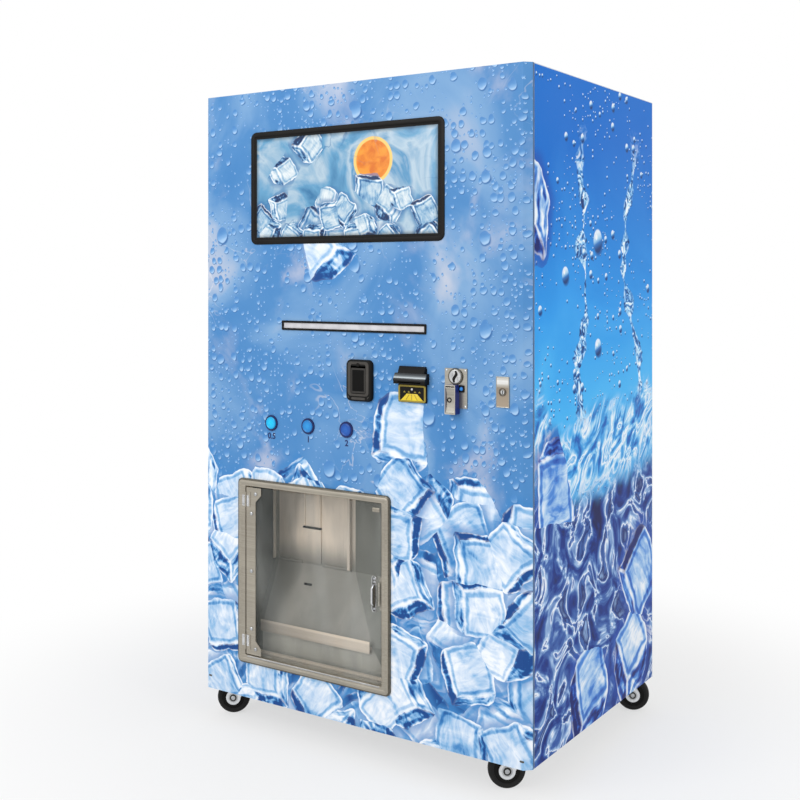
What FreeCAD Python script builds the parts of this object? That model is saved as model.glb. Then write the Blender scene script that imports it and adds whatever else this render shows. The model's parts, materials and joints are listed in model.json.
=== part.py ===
import FreeCAD, Part
import math
import os

# Ice vending machine: a folded-sheet cabinet on casters with a full-front service door.
# Millimetres. The origin is on the floor under the middle of the cabinet, +X is the viewer's
# right, the front faces -Y and +Z is up.

# Cabinet
cabinet_width = 1100.0
cabinet_depth = 840.0
panel_height = 1800.0
skirt_gap = 90.0
sheet = 2.0
panel_flange = 25.0
fold_relief = 30.0
fold_clearance = 0.5
running_clearance = 0.05
cutout_clearance = 1.0

# Chassis
rail_size = 40.0
rail_wall = 3.0
caster_pad = 130.0
caster_pad_thickness = 4.0

# Casters
caster_height = 128.0
caster_side_inset = 74.0
caster_front_inset = 95.0
caster_rear_inset = 80.0
caster_front_heading = 213.6
caster_rear_heading = 22.0
caster_trail = 38.0
caster_plate_length = 104.0
caster_plate_width = 86.0
caster_plate_thickness = 5.0
race_radius = 28.0
race_height = 10.0
kingpin_radius = 6.0
rivet_radius = 10.0
rivet_height = 3.0
swivel_gap = 0.3
crown_thickness = 7.0
crown_back = 30.0
crown_front = 34.0
leg_thickness = 4.0
leg_end_radius = 22.0
wheel_radius = 50.0
wheel_width = 30.0
wheel_edge = 6.0
wheel_side_gap = 1.5
wheel_dish_radius = 34.0
wheel_dish_depth = 3.0
hub_radius = 13.0
axle_radius = 6.0
axle_head_radius = 9.0
axle_head = 3.0

# Service door
door_thickness = 24.0
door_lock_bevel = 18.0
door_hinge_bevel = 3.0
door_gap = 3.0
door_flange = 20.0
stiffener_width = 30.0
left_stiffener_inset = 50.0
right_stiffener_inset = 130.0

# Service door hinges
hinge_count = 3
hinge_length = 90.0
hinge_inset = 180.0
hinge_knuckle_radius = 5.0
hinge_pin_radius = 3.0
hinge_leaf = 1.2
hinge_leaf_width = 22.0
hinge_side_gap = 1.0
knuckle_gap = 0.5

# Display
display_width = 672.0
display_height = 332.0
display_shift = -37.0
display_drop = 285.0
display_border = 15.0
display_corner = 20.0
display_proud = 3.0
display_overlap = 3.0
display_depth = 35.0

# Light bar
light_bar_width = 497.0
light_bar_height = 27.5
light_bar_shift = -6.5
light_bar_rise = 1113.0
light_bar_border = 6.0
light_bar_proud = 4.0
light_bar_depth = 10.0
light_bar_overlap = 2.0

# Card reader
reader_width = 86.0
reader_height = 115.0
reader_right_inset = 524.0
reader_rise = 965.5
reader_corner = 14.0
reader_plate = 8.0
reader_face_margin = 14.0
reader_face = 5.0
reader_body_margin = 12.0
reader_body_depth = 35.0

# Bill acceptor
bill_width = 101.0
bill_right_inset = 350.0
bill_rise = 915.0
bill_panel_height = 50.0
bill_panel_inset = 6.0
bill_panel_thickness = 7.0
bill_hood_height = 47.0
bill_hood_reach = 23.0
bill_lip = 11.0
bill_hood_brow = 6.0
bill_slot_height = 6.0
validator_width = 86.0
validator_height = 86.0
validator_depth = 110.0

# Coin entry
coin_plate_width = 68.0
coin_plate_height = 104.6
coin_right_inset = 215.0
coin_rise = 908.0
coin_plate_thickness = 3.0
coin_entry_radius = 21.0
coin_entry_drop = 21.0
coin_entry_proud = 4.0
coin_slot_width = 4.0
coin_slot_height = 28.0
coin_mechanism_width = 60.0
coin_mechanism_height = 140.0
coin_mechanism_depth = 65.0
reject_radius = 5.5
reject_drop = 53.0
reject_side_inset = 17.0
reject_proud = 3.0
reject_travel = 2.5
reject_length = 16.0

# Coin return
cup_width = 32.0
cup_height = 77.0
cup_left_inset = 12.0
cup_sink = 15.0
cup_reach = 24.0
cup_side_wall = 2.5
cup_back = 3.0
cup_lip = 3.0
flap_thickness = 2.0
flap_gap = 0.6
flap_pin_radius = 1.5
flap_pin_inset = 4.5

# Door lock
lock_plate_width = 38.0
lock_plate_height = 79.0
lock_right_inset = 76.0
lock_rise = 957.5
lock_plate_thickness = 2.5
lock_plug_radius = 8.0
lock_housing_radius = 11.0
lock_plug_proud = 1.0
lock_flange_gap = 3.0
cam_length = 65.0
cam_width = 16.0
cam_thickness = 3.0

# Product buttons
button_count = 3
button_left_inset = 255.0
button_pitch = 136.0
button_rise = 825.0
button_radius = 18.0
button_gap = 0.3
button_rim = 4.2
button_rim_proud = 4.0
button_proud = 7.0
button_travel = 4.0
button_length = 22.0
button_barrel_wall = 2.0
button_barrel_depth = 30.0

# Pick-up hatch
hatch_width = 546.0
hatch_height = 547.0
hatch_left_inset = 130.0
hatch_rise = 106.0
hatch_left_border = 30.0
hatch_right_border = 25.0
hatch_bottom_border = 24.0
hatch_top_border = 20.0
hatch_corner = 14.0
hatch_proud = 8.0
hatch_chamfer = 3.0
hatch_sleeve = 3.0
hatch_clearance = 4.0
glass_thickness = 5.0
stile_width = 35.0
stile_end_width = 56.0
stile_end_height = 42.0
stile_sheet = 1.0
screw_head_radius = 4.0
screw_head_height = 1.4
screw_end_inset = 18.0
screw_inset = 77.0
screw_side_inset = 20.0
screw_end_side_inset = 36.0
hatch_hinge_length = 45.0
hatch_hinge_inset = 40.0
hatch_hinge_leaf = 1.2
hatch_hinge_leaf_width = 18.0
hatch_knuckle_radius = 2.4
hatch_pin_radius = 1.2
hatch_pivot_inset = 2.0
catch_width = 10.0
catch_height = 90.0
catch_thickness = 3.0
catch_gap = 0.5
handle_length = 101.0
handle_inset = 20.0
handle_pad_radius = 8.0
handle_pad = 4.0
handle_grip_width = 8.0
handle_grip_thickness = 6.0
handle_reach = 17.0

# Pick-up compartment
liner_sheet = 1.5
liner_margin = 2.0
compartment_depth = 130.0
slide_rise = 259.0
slide_foot = 80.0
slide_reach = 78.0
liner_foot_inset = 60.0
rail_left_inset = 20.0
rail_right_inset = 76.0
rail_height = 34.0
rail_depth = 12.0
rail_sheet = 1.5
rail_seat = 17.0

# Ice chute and its flap
chute_shift = 192.0
chute_width = 120.0
chute_wall = 2.0
chute_front_gap = 10.0
chute_length = 83.0
chute_flap_gap = 2.0
chute_flap_rise = 6.0
chute_flap_thickness = 2.0
chute_pin_radius = 2.0
chute_pin_inset = 4.0

# Ice bin and auger
bin_wall = 2.0
bin_side_gap = 48.0
bin_front_gap = 35.0
bin_top = 1300.0
bin_shoulder = 1000.0
auger_height = 900.0
trough_radius = 64.0
outlet_radius = 56.0
bin_bracket_depth = 300.0
bin_bracket_height = 60.0
bin_bracket_sheet = 3.0
auger_shaft_radius = 10.0
auger_flight_radius = 52.0
auger_flight_thickness = 4.0
auger_flight_tilt = 15.0
auger_pitch = 60.0
auger_end_gap = 30.0
auger_nose = 20.0
shaft_seal_gap = 1.0
gearbox_width = 110.0
gearbox_height = 120.0
gearbox_depth = 60.0
gear_motor_radius = 40.0
gear_motor_length = 48.0
motor_space = 116.0

# Ice maker
tray_bar_size = 40.0
tray_bar_spacing = 330.0
tray_width = 500.0
tray_depth = 400.0
tray_height = 60.0
tray_wall = 3.0
evaporator_height = 250.0
evaporator_depth = 250.0
evaporator_plate = 6.0
evaporator_plates = 5
evaporator_spacing = 50.0
evaporator_lift = 30.0
pump_radius = 30.0
pump_height = 90.0

# Refrigeration
compressor_right_inset = 270.0
compressor_y = 130.0
compressor_radius = 90.0
compressor_height = 200.0
compressor_crown = 40.0
compressor_base_length = 220.0
compressor_base_width = 160.0
compressor_base_thickness = 4.0
grommet_radius = 12.0
grommet_height = 16.0
condenser_right_inset = 250.0
condenser_width = 300.0
condenser_height = 350.0
condenser_depth = 45.0
condenser_rear_gap = 11.0
condenser_fins = 14
condenser_fin_gap = 8.0
condenser_fin_depth = 12.0
shroud_depth = 40.0
shroud_wall = 3.0
shroud_hole_radius = 125.0
fan_motor_radius = 35.0
fan_motor_length = 20.0
fan_motor_bar = 20.0
fan_motor_bar_thickness = 4.0
fan_motor_back_gap = 6.0
fan_shaft_radius = 4.0
fan_hub_radius = 30.0
fan_hub_length = 22.0
fan_hub_gap = 6.0
fan_blades = 5
fan_blade_radius = 115.0
fan_blade_width = 50.0
fan_blade_thickness = 3.0
fan_blade_tilt = 25.0
line_radius = 5.0
line_low = 620.0
line_rear_gap = 36.0
discharge_line_right_inset = 170.0

# Controls and connections
control_box_left_inset = 180.0
control_box_y = 220.0
control_box_width = 220.0
control_box_depth = 200.0
control_box_height = 300.0
valve_left_inset = 200.0
valve_z = 700.0
valve_body = 50.0
valve_flange_radius = 24.0
inlet_radius = 13.2
inlet_bore = 8.0
inlet_bore_depth = 40.0
connection_reach = 25.0
drain_left_inset = 90.0
drain_z = 215.0
drain_radius = 16.0
drain_bore = 13.0
drain_length = 70.0
drain_flange_radius = 26.0
drain_flange = 4.0
mains_left_inset = 180.0
mains_z = 560.0
mains_flange_width = 54.0
mains_flange_height = 46.0
mains_flange = 3.0
mains_body_width = 40.0
mains_body_height = 32.0
mains_body_depth = 34.0
mains_recess_width = 26.0
mains_recess_height = 18.0
mains_recess_depth = 24.0
louvre_rows = 12
louvre_width = 110.0
louvre_height = 8.0
louvre_pitch = 26.0
louvre_column_gap = 150.0


def point(x, y, z):
    return FreeCAD.Vector(x, y, z)


def between(first, second):
    return (min(first, second), max(first, second))


def span(centre, size):
    return (centre - size / 2, centre + size / 2)


def grown(limits, margin):
    return (limits[0] - margin, limits[1] + margin)


def middle(limits):
    return (limits[0] + limits[1]) / 2


def block(x, y, z):
    corner = point(x[0], y[0], z[0])
    return Part.makeBox(x[1] - x[0], y[1] - y[0], z[1] - z[0], corner)


def rod(radius, start, end):
    way = end - start
    return Part.makeCylinder(radius, way.Length, start, way)


def rod_x(radius, x, y, z):
    return rod(radius, point(x[0], y, z), point(x[1], y, z))


def rod_y(radius, x, y, z):
    return rod(radius, point(x, y[0], z), point(x, y[1], z))


def rod_z(radius, x, y, z):
    return rod(radius, point(x, y, z[0]), point(x, y, z[1]))


def prism(corners, way):
    outline = Part.makePolygon(corners + corners[:1])
    return Part.Face(outline).extrude(way)


def joined(*pieces):
    shape = pieces[0]
    for piece in pieces[1:]:
        shape = shape.fuse(piece)
    return shape.removeSplitter()


def without(shape, *tools):
    for tool in tools:
        shape = shape.cut(tool)
    return shape


def group(solids):
    return Part.makeCompound(solids)


def edges_along(shape, way):
    found = []
    for edge in shape.Edges:
        direction = edge.tangentAt(edge.FirstParameter)
        if abs(direction.dot(way)) > 0.999 and len(edge.Vertexes) == 2:
            found.append(edge)
    return found


def rounded_plate(x, y, z, corner):
    plate = block(x, y, z)
    return plate.makeFillet(corner, edges_along(plate, point(0, 1, 0)))


def edges_at_y(shape, y):
    found = []
    for edge in shape.Edges:
        limits = edge.BoundBox
        if abs(limits.YMin - y) < 1e-4 and abs(limits.YMax - y) < 1e-4:
            found.append(edge)
    return found


# Planes of the cabinet
left = -cabinet_width / 2
right = cabinet_width / 2
front = -cabinet_depth / 2
rear = cabinet_depth / 2
bottom = skirt_gap
top = skirt_gap + panel_height
inner_left = left + sheet
inner_right = right - sheet
door_back = front + door_thickness
skin_back = front + sheet
body_front = door_back + door_gap
frame_front = body_front + sheet
frame_rear = rear - 2 * sheet
through_skin = (front - sheet, skin_back + sheet)
rail_bottom = caster_height
rail_top = rail_bottom + rail_size
floor_top = rail_top + sheet

# Service door
stiffener_xs = [left + left_stiffener_inset, right - right_stiffener_inset]
door_axis_x = left - hinge_side_gap - hinge_knuckle_radius
door_axis_y = door_back + door_gap / 2

# Display
display_x = span(display_shift, display_width)
display_z = span(top - display_drop, display_height)
screen_x = grown(display_x, -display_border)
screen_z = grown(display_z, -display_border)
module_x = grown(screen_x, display_overlap)
module_z = grown(screen_z, display_overlap)

# Light bar
light_bar_x = span(light_bar_shift, light_bar_width)
light_bar_z = span(bottom + light_bar_rise, light_bar_height)
lens_x = grown(light_bar_x, light_bar_overlap - light_bar_border)
lens_z = grown(light_bar_z, light_bar_overlap - light_bar_border)

# Card reader
reader_x = span(right - reader_right_inset, reader_width)
reader_z = span(bottom + reader_rise, reader_height)
reader_body_x = grown(reader_x, -reader_body_margin)
reader_body_z = grown(reader_z, -reader_body_margin)

# Bill acceptor
bill_centre = right - bill_right_inset
bill_x = span(bill_centre, bill_width)
bill_z = (bottom + bill_rise, bottom + bill_rise + bill_panel_height + bill_hood_height)
bill_split = bill_z[0] + bill_panel_height
validator_x = span(bill_centre, validator_width)
validator_z = span(middle(bill_z), validator_height)

# Coin entry and return
coin_centre = right - coin_right_inset
coin_x = span(coin_centre, coin_plate_width)
coin_z = (bottom + coin_rise, bottom + coin_rise + coin_plate_height)
coin_entry_z = coin_z[1] - coin_entry_drop
reject_x = coin_x[1] - reject_side_inset
reject_z = coin_z[1] - reject_drop
cup_x = (coin_x[0] + cup_left_inset, coin_x[0] + cup_left_inset + cup_width)
cup_z = (coin_z[0] - cup_sink, coin_z[0] - cup_sink + cup_height)
cup_front = front - cup_reach
pocket_x = grown(cup_x, -cup_side_wall)
pocket_y = (cup_front, front - cup_back)
pocket_z = grown(cup_z, -cup_lip)
flap_axis_y = cup_front + flap_thickness
flap_axis_z = pocket_z[1] - flap_pin_inset
coin_mechanism_x = span(coin_centre, coin_mechanism_width)
coin_mechanism_z = (coin_z[1] - coin_mechanism_height, coin_z[1])

# Door lock
lock_x = right - lock_right_inset
lock_z = bottom + lock_rise
lock_front = front - lock_plate_thickness
cam_y = (frame_front + lock_flange_gap, frame_front + lock_flange_gap + cam_thickness)

# Product buttons
button_z = bottom + button_rise
button_xs = [left + button_left_inset + number * button_pitch for number in range(button_count)]
button_bore = button_radius + button_gap
barrel_radius = button_bore + button_barrel_wall

# Pick-up hatch
hatch_x = (left + hatch_left_inset, left + hatch_left_inset + hatch_width)
hatch_z = (bottom + hatch_rise, bottom + hatch_rise + hatch_height)
opening_x = (hatch_x[0] + hatch_left_border, hatch_x[1] - hatch_right_border)
opening_z = (hatch_z[0] + hatch_bottom_border, hatch_z[1] - hatch_top_border)
sleeve_x = grown(opening_x, hatch_sleeve)
sleeve_z = grown(opening_z, hatch_sleeve)
hatch_front = front - hatch_proud
glass_x = grown(opening_x, -hatch_clearance)
glass_z = grown(opening_z, -hatch_clearance)
glass_y = (hatch_front + stile_sheet, hatch_front + stile_sheet + glass_thickness)
hatch_axis_x = opening_x[0] + hatch_pivot_inset
hatch_axis_y = hatch_front - hatch_knuckle_radius
hatch_hinge_zs = [opening_z[0] + hatch_hinge_inset, opening_z[1] - hatch_hinge_inset]
handle_x = glass_x[1] - handle_inset
handle_z = span(middle(glass_z), handle_length)

# Pick-up compartment
liner_x = grown(opening_x, liner_margin)
liner_z = grown(opening_z, liner_margin)
liner_back = front + compartment_depth
liner_top = liner_z[1] + liner_sheet
slide_top = opening_z[0] + slide_rise
slide_front = liner_back - slide_reach
slide_bottom = opening_z[0] + slide_foot
bag_rail_x = (liner_x[0] + rail_left_inset, liner_x[1] - rail_right_inset)
bag_rail_z = (slide_bottom - rail_seat, slide_bottom - rail_seat + rail_height)

# Ice path
auger_x = liner_x[0] + chute_shift
chute_x = span(auger_x, chute_width)
chute_y = (body_front + chute_front_gap, body_front + chute_front_gap + chute_length)
bin_front = liner_back + bin_front_gap
bin_rear = frame_rear - motor_space
bin_x = (inner_left + bin_side_gap, inner_right - bin_side_gap)
chute_axis_y = chute_y[1] - chute_wall - chute_pin_inset
chute_axis_z = liner_top + chute_flap_rise

# Ice maker
tray_y = span((bin_front + bin_rear) / 2, tray_depth)
tray_z = (bin_top + tray_bar_size, bin_top + tray_bar_size + tray_height)
evaporator_x = span(0, tray_width)
evaporator_y = span(middle(tray_y), evaporator_depth)
evaporator_z = (tray_z[1], tray_z[1] + evaporator_height)

# Refrigeration
compressor_x = right - compressor_right_inset
condenser_x = right - condenser_right_inset
discharge_line_x = right - discharge_line_right_inset
condenser_y = (rear - sheet - condenser_rear_gap - condenser_depth, rear - sheet - condenser_rear_gap)
condenser_z = (floor_top, floor_top + condenser_height)
shroud_y = (condenser_y[0] - shroud_depth, condenser_y[0])
fan_z = middle(condenser_z)
fan_motor_y = (shroud_y[1] - fan_motor_back_gap - fan_motor_length, shroud_y[1] - fan_motor_back_gap)
fan_hub_y = (fan_motor_y[0] - fan_hub_gap - fan_hub_length, fan_motor_y[0] - fan_hub_gap)
line_rear_y = bin_rear + line_rear_gap
compressor_top = floor_top + grommet_height + compressor_base_thickness + compressor_height

# Controls and connections
control_box_x = left + control_box_left_inset
valve_x = left + valve_left_inset
drain_x = left + drain_left_inset
mains_x = left + mains_left_inset

# Casters
plate_bottom = caster_height - caster_plate_thickness
race_bottom = plate_bottom - race_height
crown_top = race_bottom - swivel_gap
crown_bottom = crown_top - crown_thickness
rivet_top = crown_bottom - swivel_gap
fork_inside = wheel_width / 2 + wheel_side_gap
fork_outside = fork_inside + leg_thickness
caster_x = right - caster_side_inset
casters = {
    "front_left": (-caster_x, front + caster_front_inset, caster_front_heading),
    "front_right": (caster_x, front + caster_front_inset, caster_front_heading),
    "rear_left": (-caster_x, rear - caster_rear_inset, caster_rear_heading),
    "rear_right": (caster_x, rear - caster_rear_inset, caster_rear_heading),
}


# Cabinet shell

def base_frame():
    width = (inner_left, inner_right)
    depth = (frame_front, frame_rear)
    rails = [
        ((inner_left, inner_left + rail_size), depth),
        ((inner_right - rail_size, inner_right), depth),
        (width, (frame_front, frame_front + rail_size)),
        (width, span(middle(depth), rail_size)),
        (width, (frame_rear - rail_size, frame_rear)),
    ]
    solid = [block(x, y, (rail_bottom, rail_top)) for x, y in rails]
    groove_z = (rail_bottom, rail_top - rail_wall)
    grooves = [block(grown(x, -rail_wall), grown(y, -rail_wall), groove_z) for x, y in rails]
    pad_z = (rail_bottom, rail_bottom + caster_pad_thickness)
    pads = [block(span(x, caster_pad), span(y, caster_pad), pad_z) for x, y, _ in casters.values()]
    return joined(without(joined(*solid), joined(*grooves)), *pads)


def floor_pan():
    return block((inner_left, inner_right), (frame_front, frame_rear), (rail_top, floor_top))


def side_panel(outside, inward):
    """A folded sheet whose two folds stop short of its foot, so that the wheels swivel clear of them."""
    height = (bottom, top - sheet)
    fold_height = (bottom + fold_relief, top - sheet)
    fold_x = between(outside, outside + inward * panel_flange)
    face = block(between(outside, outside + inward * sheet), (body_front, rear - sheet), height)
    front_fold = block(fold_x, (body_front, frame_front), fold_height)
    rear_fold = block(fold_x, (frame_rear, rear - sheet), fold_height)
    return joined(face, front_fold, rear_fold)


def top_panel():
    roof = block((left, right), (body_front, rear), (top - sheet, top))
    fold_x = grown((left, right), -panel_flange - fold_clearance)
    fold = block(fold_x, (body_front, frame_front), (top - panel_flange, top - sheet))
    return joined(roof, fold)


def rear_panel():
    panel = block((left, right), (rear - sheet, rear), (bottom, top - sheet))
    through = (rear - 2 * sheet, rear + sheet)
    slots = []
    for row in range(louvre_rows):
        slot_z = span(condenser_z[0] + (row + 1) * louvre_pitch, louvre_height)
        for side in (-1, 1):
            slot_x = span(condenser_x + side * louvre_column_gap / 2, louvre_width)
            slots.append(block(slot_x, through, slot_z))
    valve_hole = rod_y(inlet_radius + cutout_clearance, valve_x, through, valve_z)
    drain_hole = rod_y(drain_radius + cutout_clearance, drain_x, through, drain_z)
    mains_hole = block(
        grown(span(mains_x, mains_body_width), cutout_clearance),
        through,
        grown(span(mains_z, mains_body_height), cutout_clearance),
    )
    return without(panel, valve_hole, drain_hole, mains_hole, *slots)


# Casters

def caster_plate(x, y):
    plate = block(span(x, caster_plate_length), span(y, caster_plate_width), (plate_bottom, caster_height))
    race = rod_z(race_radius, x, y, (race_bottom, plate_bottom))
    kingpin = rod_z(kingpin_radius, x, y, (rivet_top - rivet_height, plate_bottom))
    rivet = rod_z(rivet_radius, x, y, (rivet_top - rivet_height, rivet_top))
    return joined(plate, race, kingpin, rivet)


def parked(shape, x, y, heading):
    shape.rotate(point(0, 0, 0), point(0, 0, 1), heading)
    shape.translate(point(x, y, 0))
    return shape


def caster_leg(side):
    inside = side * fork_inside
    corners = [
        point(-crown_back / 2, inside, crown_top),
        point(crown_front, inside, crown_top),
        point(caster_trail + leg_end_radius, inside, wheel_radius),
        point(caster_trail - leg_end_radius, inside, wheel_radius),
    ]
    web = prism(corners, point(0, side * leg_thickness, 0))
    end = rod_y(leg_end_radius, caster_trail, between(inside, side * fork_outside), wheel_radius)
    return joined(web, end)


def caster_fork(x, y, heading):
    crown = block((-crown_back, crown_front), (-fork_outside, fork_outside), (crown_bottom, crown_top))
    axle = rod_y(axle_radius, caster_trail, (-fork_outside, fork_outside), wheel_radius)
    heads = []
    for side in (-1, 1):
        head_y = between(side * fork_outside, side * (fork_outside + axle_head))
        heads.append(rod_y(axle_head_radius, caster_trail, head_y, wheel_radius))
    bore = rod_z(kingpin_radius + running_clearance, 0, 0, (crown_bottom, crown_top))
    fork = joined(crown, caster_leg(-1), caster_leg(1), axle, *heads)
    return parked(without(fork, bore), x, y, heading)


def caster_wheel(x, y, heading):
    width = span(0, wheel_width)
    tyre = rod_y(wheel_radius, caster_trail, width, wheel_radius)
    tyre = tyre.makeFillet(wheel_edge, edges_at_y(tyre, width[0]) + edges_at_y(tyre, width[1]))
    dishes = []
    for side in (-1, 1):
        dish_y = between(side * width[1], side * (width[1] - wheel_dish_depth))
        dish = rod_y(wheel_dish_radius, caster_trail, dish_y, wheel_radius)
        dishes.append(dish.cut(rod_y(hub_radius, caster_trail, dish_y, wheel_radius)))
    bore = rod_y(axle_radius + running_clearance, caster_trail, width, wheel_radius)
    return parked(without(tyre, bore, *dishes), x, y, heading)


# Service door

def pan_outline(inset, back, z):
    corner = inset * (math.sqrt(2) - 1)
    half = right - inset
    return [
        point(-half, back, z),
        point(-half, front + door_hinge_bevel + corner, z),
        point(left + door_hinge_bevel + corner, front + inset, z),
        point(right - door_lock_bevel - corner, front + inset, z),
        point(half, front + door_lock_bevel + corner, z),
        point(half, back, z),
    ]


def door_cutouts():
    holes = [
        block(grown(module_x, cutout_clearance), through_skin, grown(module_z, cutout_clearance)),
        block(grown(lens_x, cutout_clearance), through_skin, grown(lens_z, cutout_clearance)),
        block(grown(reader_body_x, cutout_clearance), through_skin, grown(reader_body_z, cutout_clearance)),
        block(grown(validator_x, cutout_clearance), through_skin, grown(validator_z, cutout_clearance)),
        block(span(coin_centre, 2 * coin_slot_width), through_skin, span(coin_entry_z, coin_slot_height)),
        rod_y(reject_radius + cutout_clearance, reject_x, through_skin, reject_z),
        rod_y(lock_housing_radius + cutout_clearance, lock_x, through_skin, lock_z),
        block(grown(sleeve_x, cutout_clearance), through_skin, grown(sleeve_z, cutout_clearance)),
    ]
    for x in button_xs:
        holes.append(rod_y(barrel_radius + cutout_clearance, x, through_skin, button_z))
    return holes


def door_skin():
    outside = prism(pan_outline(0, door_back, bottom), point(0, 0, panel_height))
    inside_height = panel_height - 2 * sheet
    inside = prism(pan_outline(sheet, door_back - sheet, bottom + sheet), point(0, 0, inside_height))
    back_x = grown((left, right), -door_flange)
    back_z = grown((bottom, top), -door_flange)
    back = block(back_x, (door_back - 2 * sheet, door_back + sheet), back_z)
    return without(outside, inside, back, *door_cutouts())


def stiffener(centre):
    width = span(centre, stiffener_width)
    outside = block(width, (skin_back, door_back - sheet), (bottom + sheet, top - sheet))
    hollow = block(grown(width, -sheet), (skin_back, door_back - 2 * sheet), (bottom, top))
    return outside.cut(hollow)


# Hinges

def knuckle(axis_x, axis_y, radius, z):
    return rod_z(radius, axis_x, axis_y, z)


def hinge_parts(axis_x, axis_y, z, length, radius, pin, fixed_leaf, moving_leaf):
    third = length / 3
    low = z - length / 2
    levels = [low, low + third, low + 2 * third, low + length]
    moving_z = grown((levels[1], levels[2]), -knuckle_gap / 2)
    lower = knuckle(axis_x, axis_y, radius, (levels[0], levels[1] - knuckle_gap / 2))
    upper = knuckle(axis_x, axis_y, radius, (levels[2] + knuckle_gap / 2, levels[3]))
    pin_rod = knuckle(axis_x, axis_y, pin, (levels[0], levels[3]))
    room = knuckle(axis_x, axis_y, radius + knuckle_gap, grown(moving_z, knuckle_gap))
    fixed = joined(fixed_leaf.cut(room), lower, upper, pin_rod)
    moving = moving_leaf
    for end_z in ((levels[0], moving_z[0]), (moving_z[1], levels[3])):
        moving = moving.cut(knuckle(axis_x, axis_y, radius + knuckle_gap, end_z))
    moving = joined(moving, knuckle(axis_x, axis_y, radius, moving_z))
    bore = knuckle(axis_x, axis_y, pin + running_clearance, (levels[0], levels[3]))
    return fixed, moving.cut(bore)


def door_hinges():
    leaf_x = (door_axis_x, left + hinge_leaf_width)
    fixed = []
    moving = []
    step = (panel_height - 2 * hinge_inset) / (hinge_count - 1)
    for number in range(hinge_count):
        z = bottom + hinge_inset + number * step
        leaf_z = span(z, hinge_length)
        cabinet_leaf = block(leaf_x, (body_front - hinge_leaf, body_front), leaf_z)
        door_leaf = block(leaf_x, (door_back, door_back + hinge_leaf), leaf_z)
        pair = hinge_parts(
            door_axis_x, door_axis_y, z, hinge_length, hinge_knuckle_radius, hinge_pin_radius,
            cabinet_leaf, door_leaf,
        )
        fixed.append(pair[0])
        moving.append(pair[1])
    return group(fixed), group(moving)


def hatch_hinges():
    leaf_y = (hatch_front - hatch_hinge_leaf, hatch_front)
    fixed = []
    moving = []
    for z in hatch_hinge_zs:
        leaf_z = span(z, hatch_hinge_length)
        frame_leaf = block((hatch_axis_x - hatch_hinge_leaf_width, hatch_axis_x), leaf_y, leaf_z)
        stile_leaf = block((hatch_axis_x, hatch_axis_x + hatch_hinge_leaf_width), leaf_y, leaf_z)
        pair = hinge_parts(
            hatch_axis_x, hatch_axis_y, z, hatch_hinge_length, hatch_knuckle_radius, hatch_pin_radius,
            frame_leaf, stile_leaf,
        )
        fixed.append(pair[0])
        moving.append(pair[1])
    return fixed, moving


# Display and light bar

def display_bezel():
    plate = rounded_plate(display_x, (front - display_proud, front), display_z, display_corner)
    window = block(screen_x, grown((front - display_proud, front), sheet), screen_z)
    return plate.cut(window)


def display_module():
    return block(module_x, (front, front + display_depth), module_z)


def light_bar_frame():
    plate = block(light_bar_x, (front - light_bar_proud, front), light_bar_z)
    window_x = grown(light_bar_x, -light_bar_border)
    window_z = grown(light_bar_z, -light_bar_border)
    return plate.cut(block(window_x, grown((front - light_bar_proud, front), sheet), window_z))


def light_bar_diffuser():
    return block(lens_x, (front, front + light_bar_depth), lens_z)


# Payment hardware

def card_reader():
    plate_y = (front - reader_plate, front)
    plate = rounded_plate(reader_x, plate_y, reader_z, reader_corner)
    face_x = grown(reader_x, -reader_face_margin)
    face_z = grown(reader_z, -reader_face_margin)
    face = block(face_x, (plate_y[0] - reader_face, plate_y[0]), face_z)
    face = face.makeChamfer(reader_face / 2, edges_at_y(face, plate_y[0] - reader_face))
    body = block(reader_body_x, (front, front + reader_body_depth), reader_body_z)
    return joined(plate, face, body)


def bill_hood():
    panel_x = grown(bill_x, -bill_panel_inset)
    panel = block(panel_x, (front - bill_panel_thickness, front), (bill_z[0], bill_split))
    profile = [
        point(bill_x[0], front, bill_split),
        point(bill_x[0], front - bill_hood_reach, bill_split),
        point(bill_x[0], front - bill_hood_reach, bill_split + bill_lip),
        point(bill_x[0], front - bill_hood_brow, bill_z[1]),
        point(bill_x[0], front, bill_z[1]),
    ]
    hood = prism(profile, point(bill_width, 0, 0))
    slot_x = grown(validator_x, -bill_panel_inset)
    slot_z = (bill_split, bill_split + bill_slot_height)
    slot = block(slot_x, (front - bill_hood_reach, front), slot_z)
    return joined(panel, hood).cut(slot)


def bill_validator():
    return block(validator_x, (front, front + validator_depth), validator_z)


def coin_plate():
    plate = block(coin_x, (front - coin_plate_thickness, front), coin_z)
    entry_y = (front - coin_plate_thickness - coin_entry_proud, front)
    entry = rod_y(coin_entry_radius, coin_centre, entry_y, coin_entry_z)
    notch = block(cup_x, entry_y, (coin_z[0], cup_z[1]))
    slot = block(span(coin_centre, coin_slot_width), entry_y, span(coin_entry_z, coin_slot_height))
    button_hole = rod_y(reject_radius + button_gap, reject_x, entry_y, reject_z)
    return without(joined(plate, entry), notch, slot, button_hole)


def coin_mechanism():
    body_y = (skin_back, skin_back + coin_mechanism_depth)
    body = block(coin_mechanism_x, body_y, coin_mechanism_z)
    coin_way = block(span(coin_centre, 2 * coin_slot_width), (skin_back, middle(body_y)),
                     span(coin_entry_z, coin_slot_height))
    button_well_y = (skin_back, front - reject_proud + reject_length + 2 * reject_travel)
    button_well = rod_y(reject_radius + button_gap, reject_x, button_well_y, reject_z)
    return without(body, coin_way, button_well)


def coin_reject_button():
    back = front - coin_plate_thickness - reject_proud + reject_length
    return rod_y(reject_radius, reject_x, (front - coin_plate_thickness - reject_proud, back), reject_z)


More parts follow.
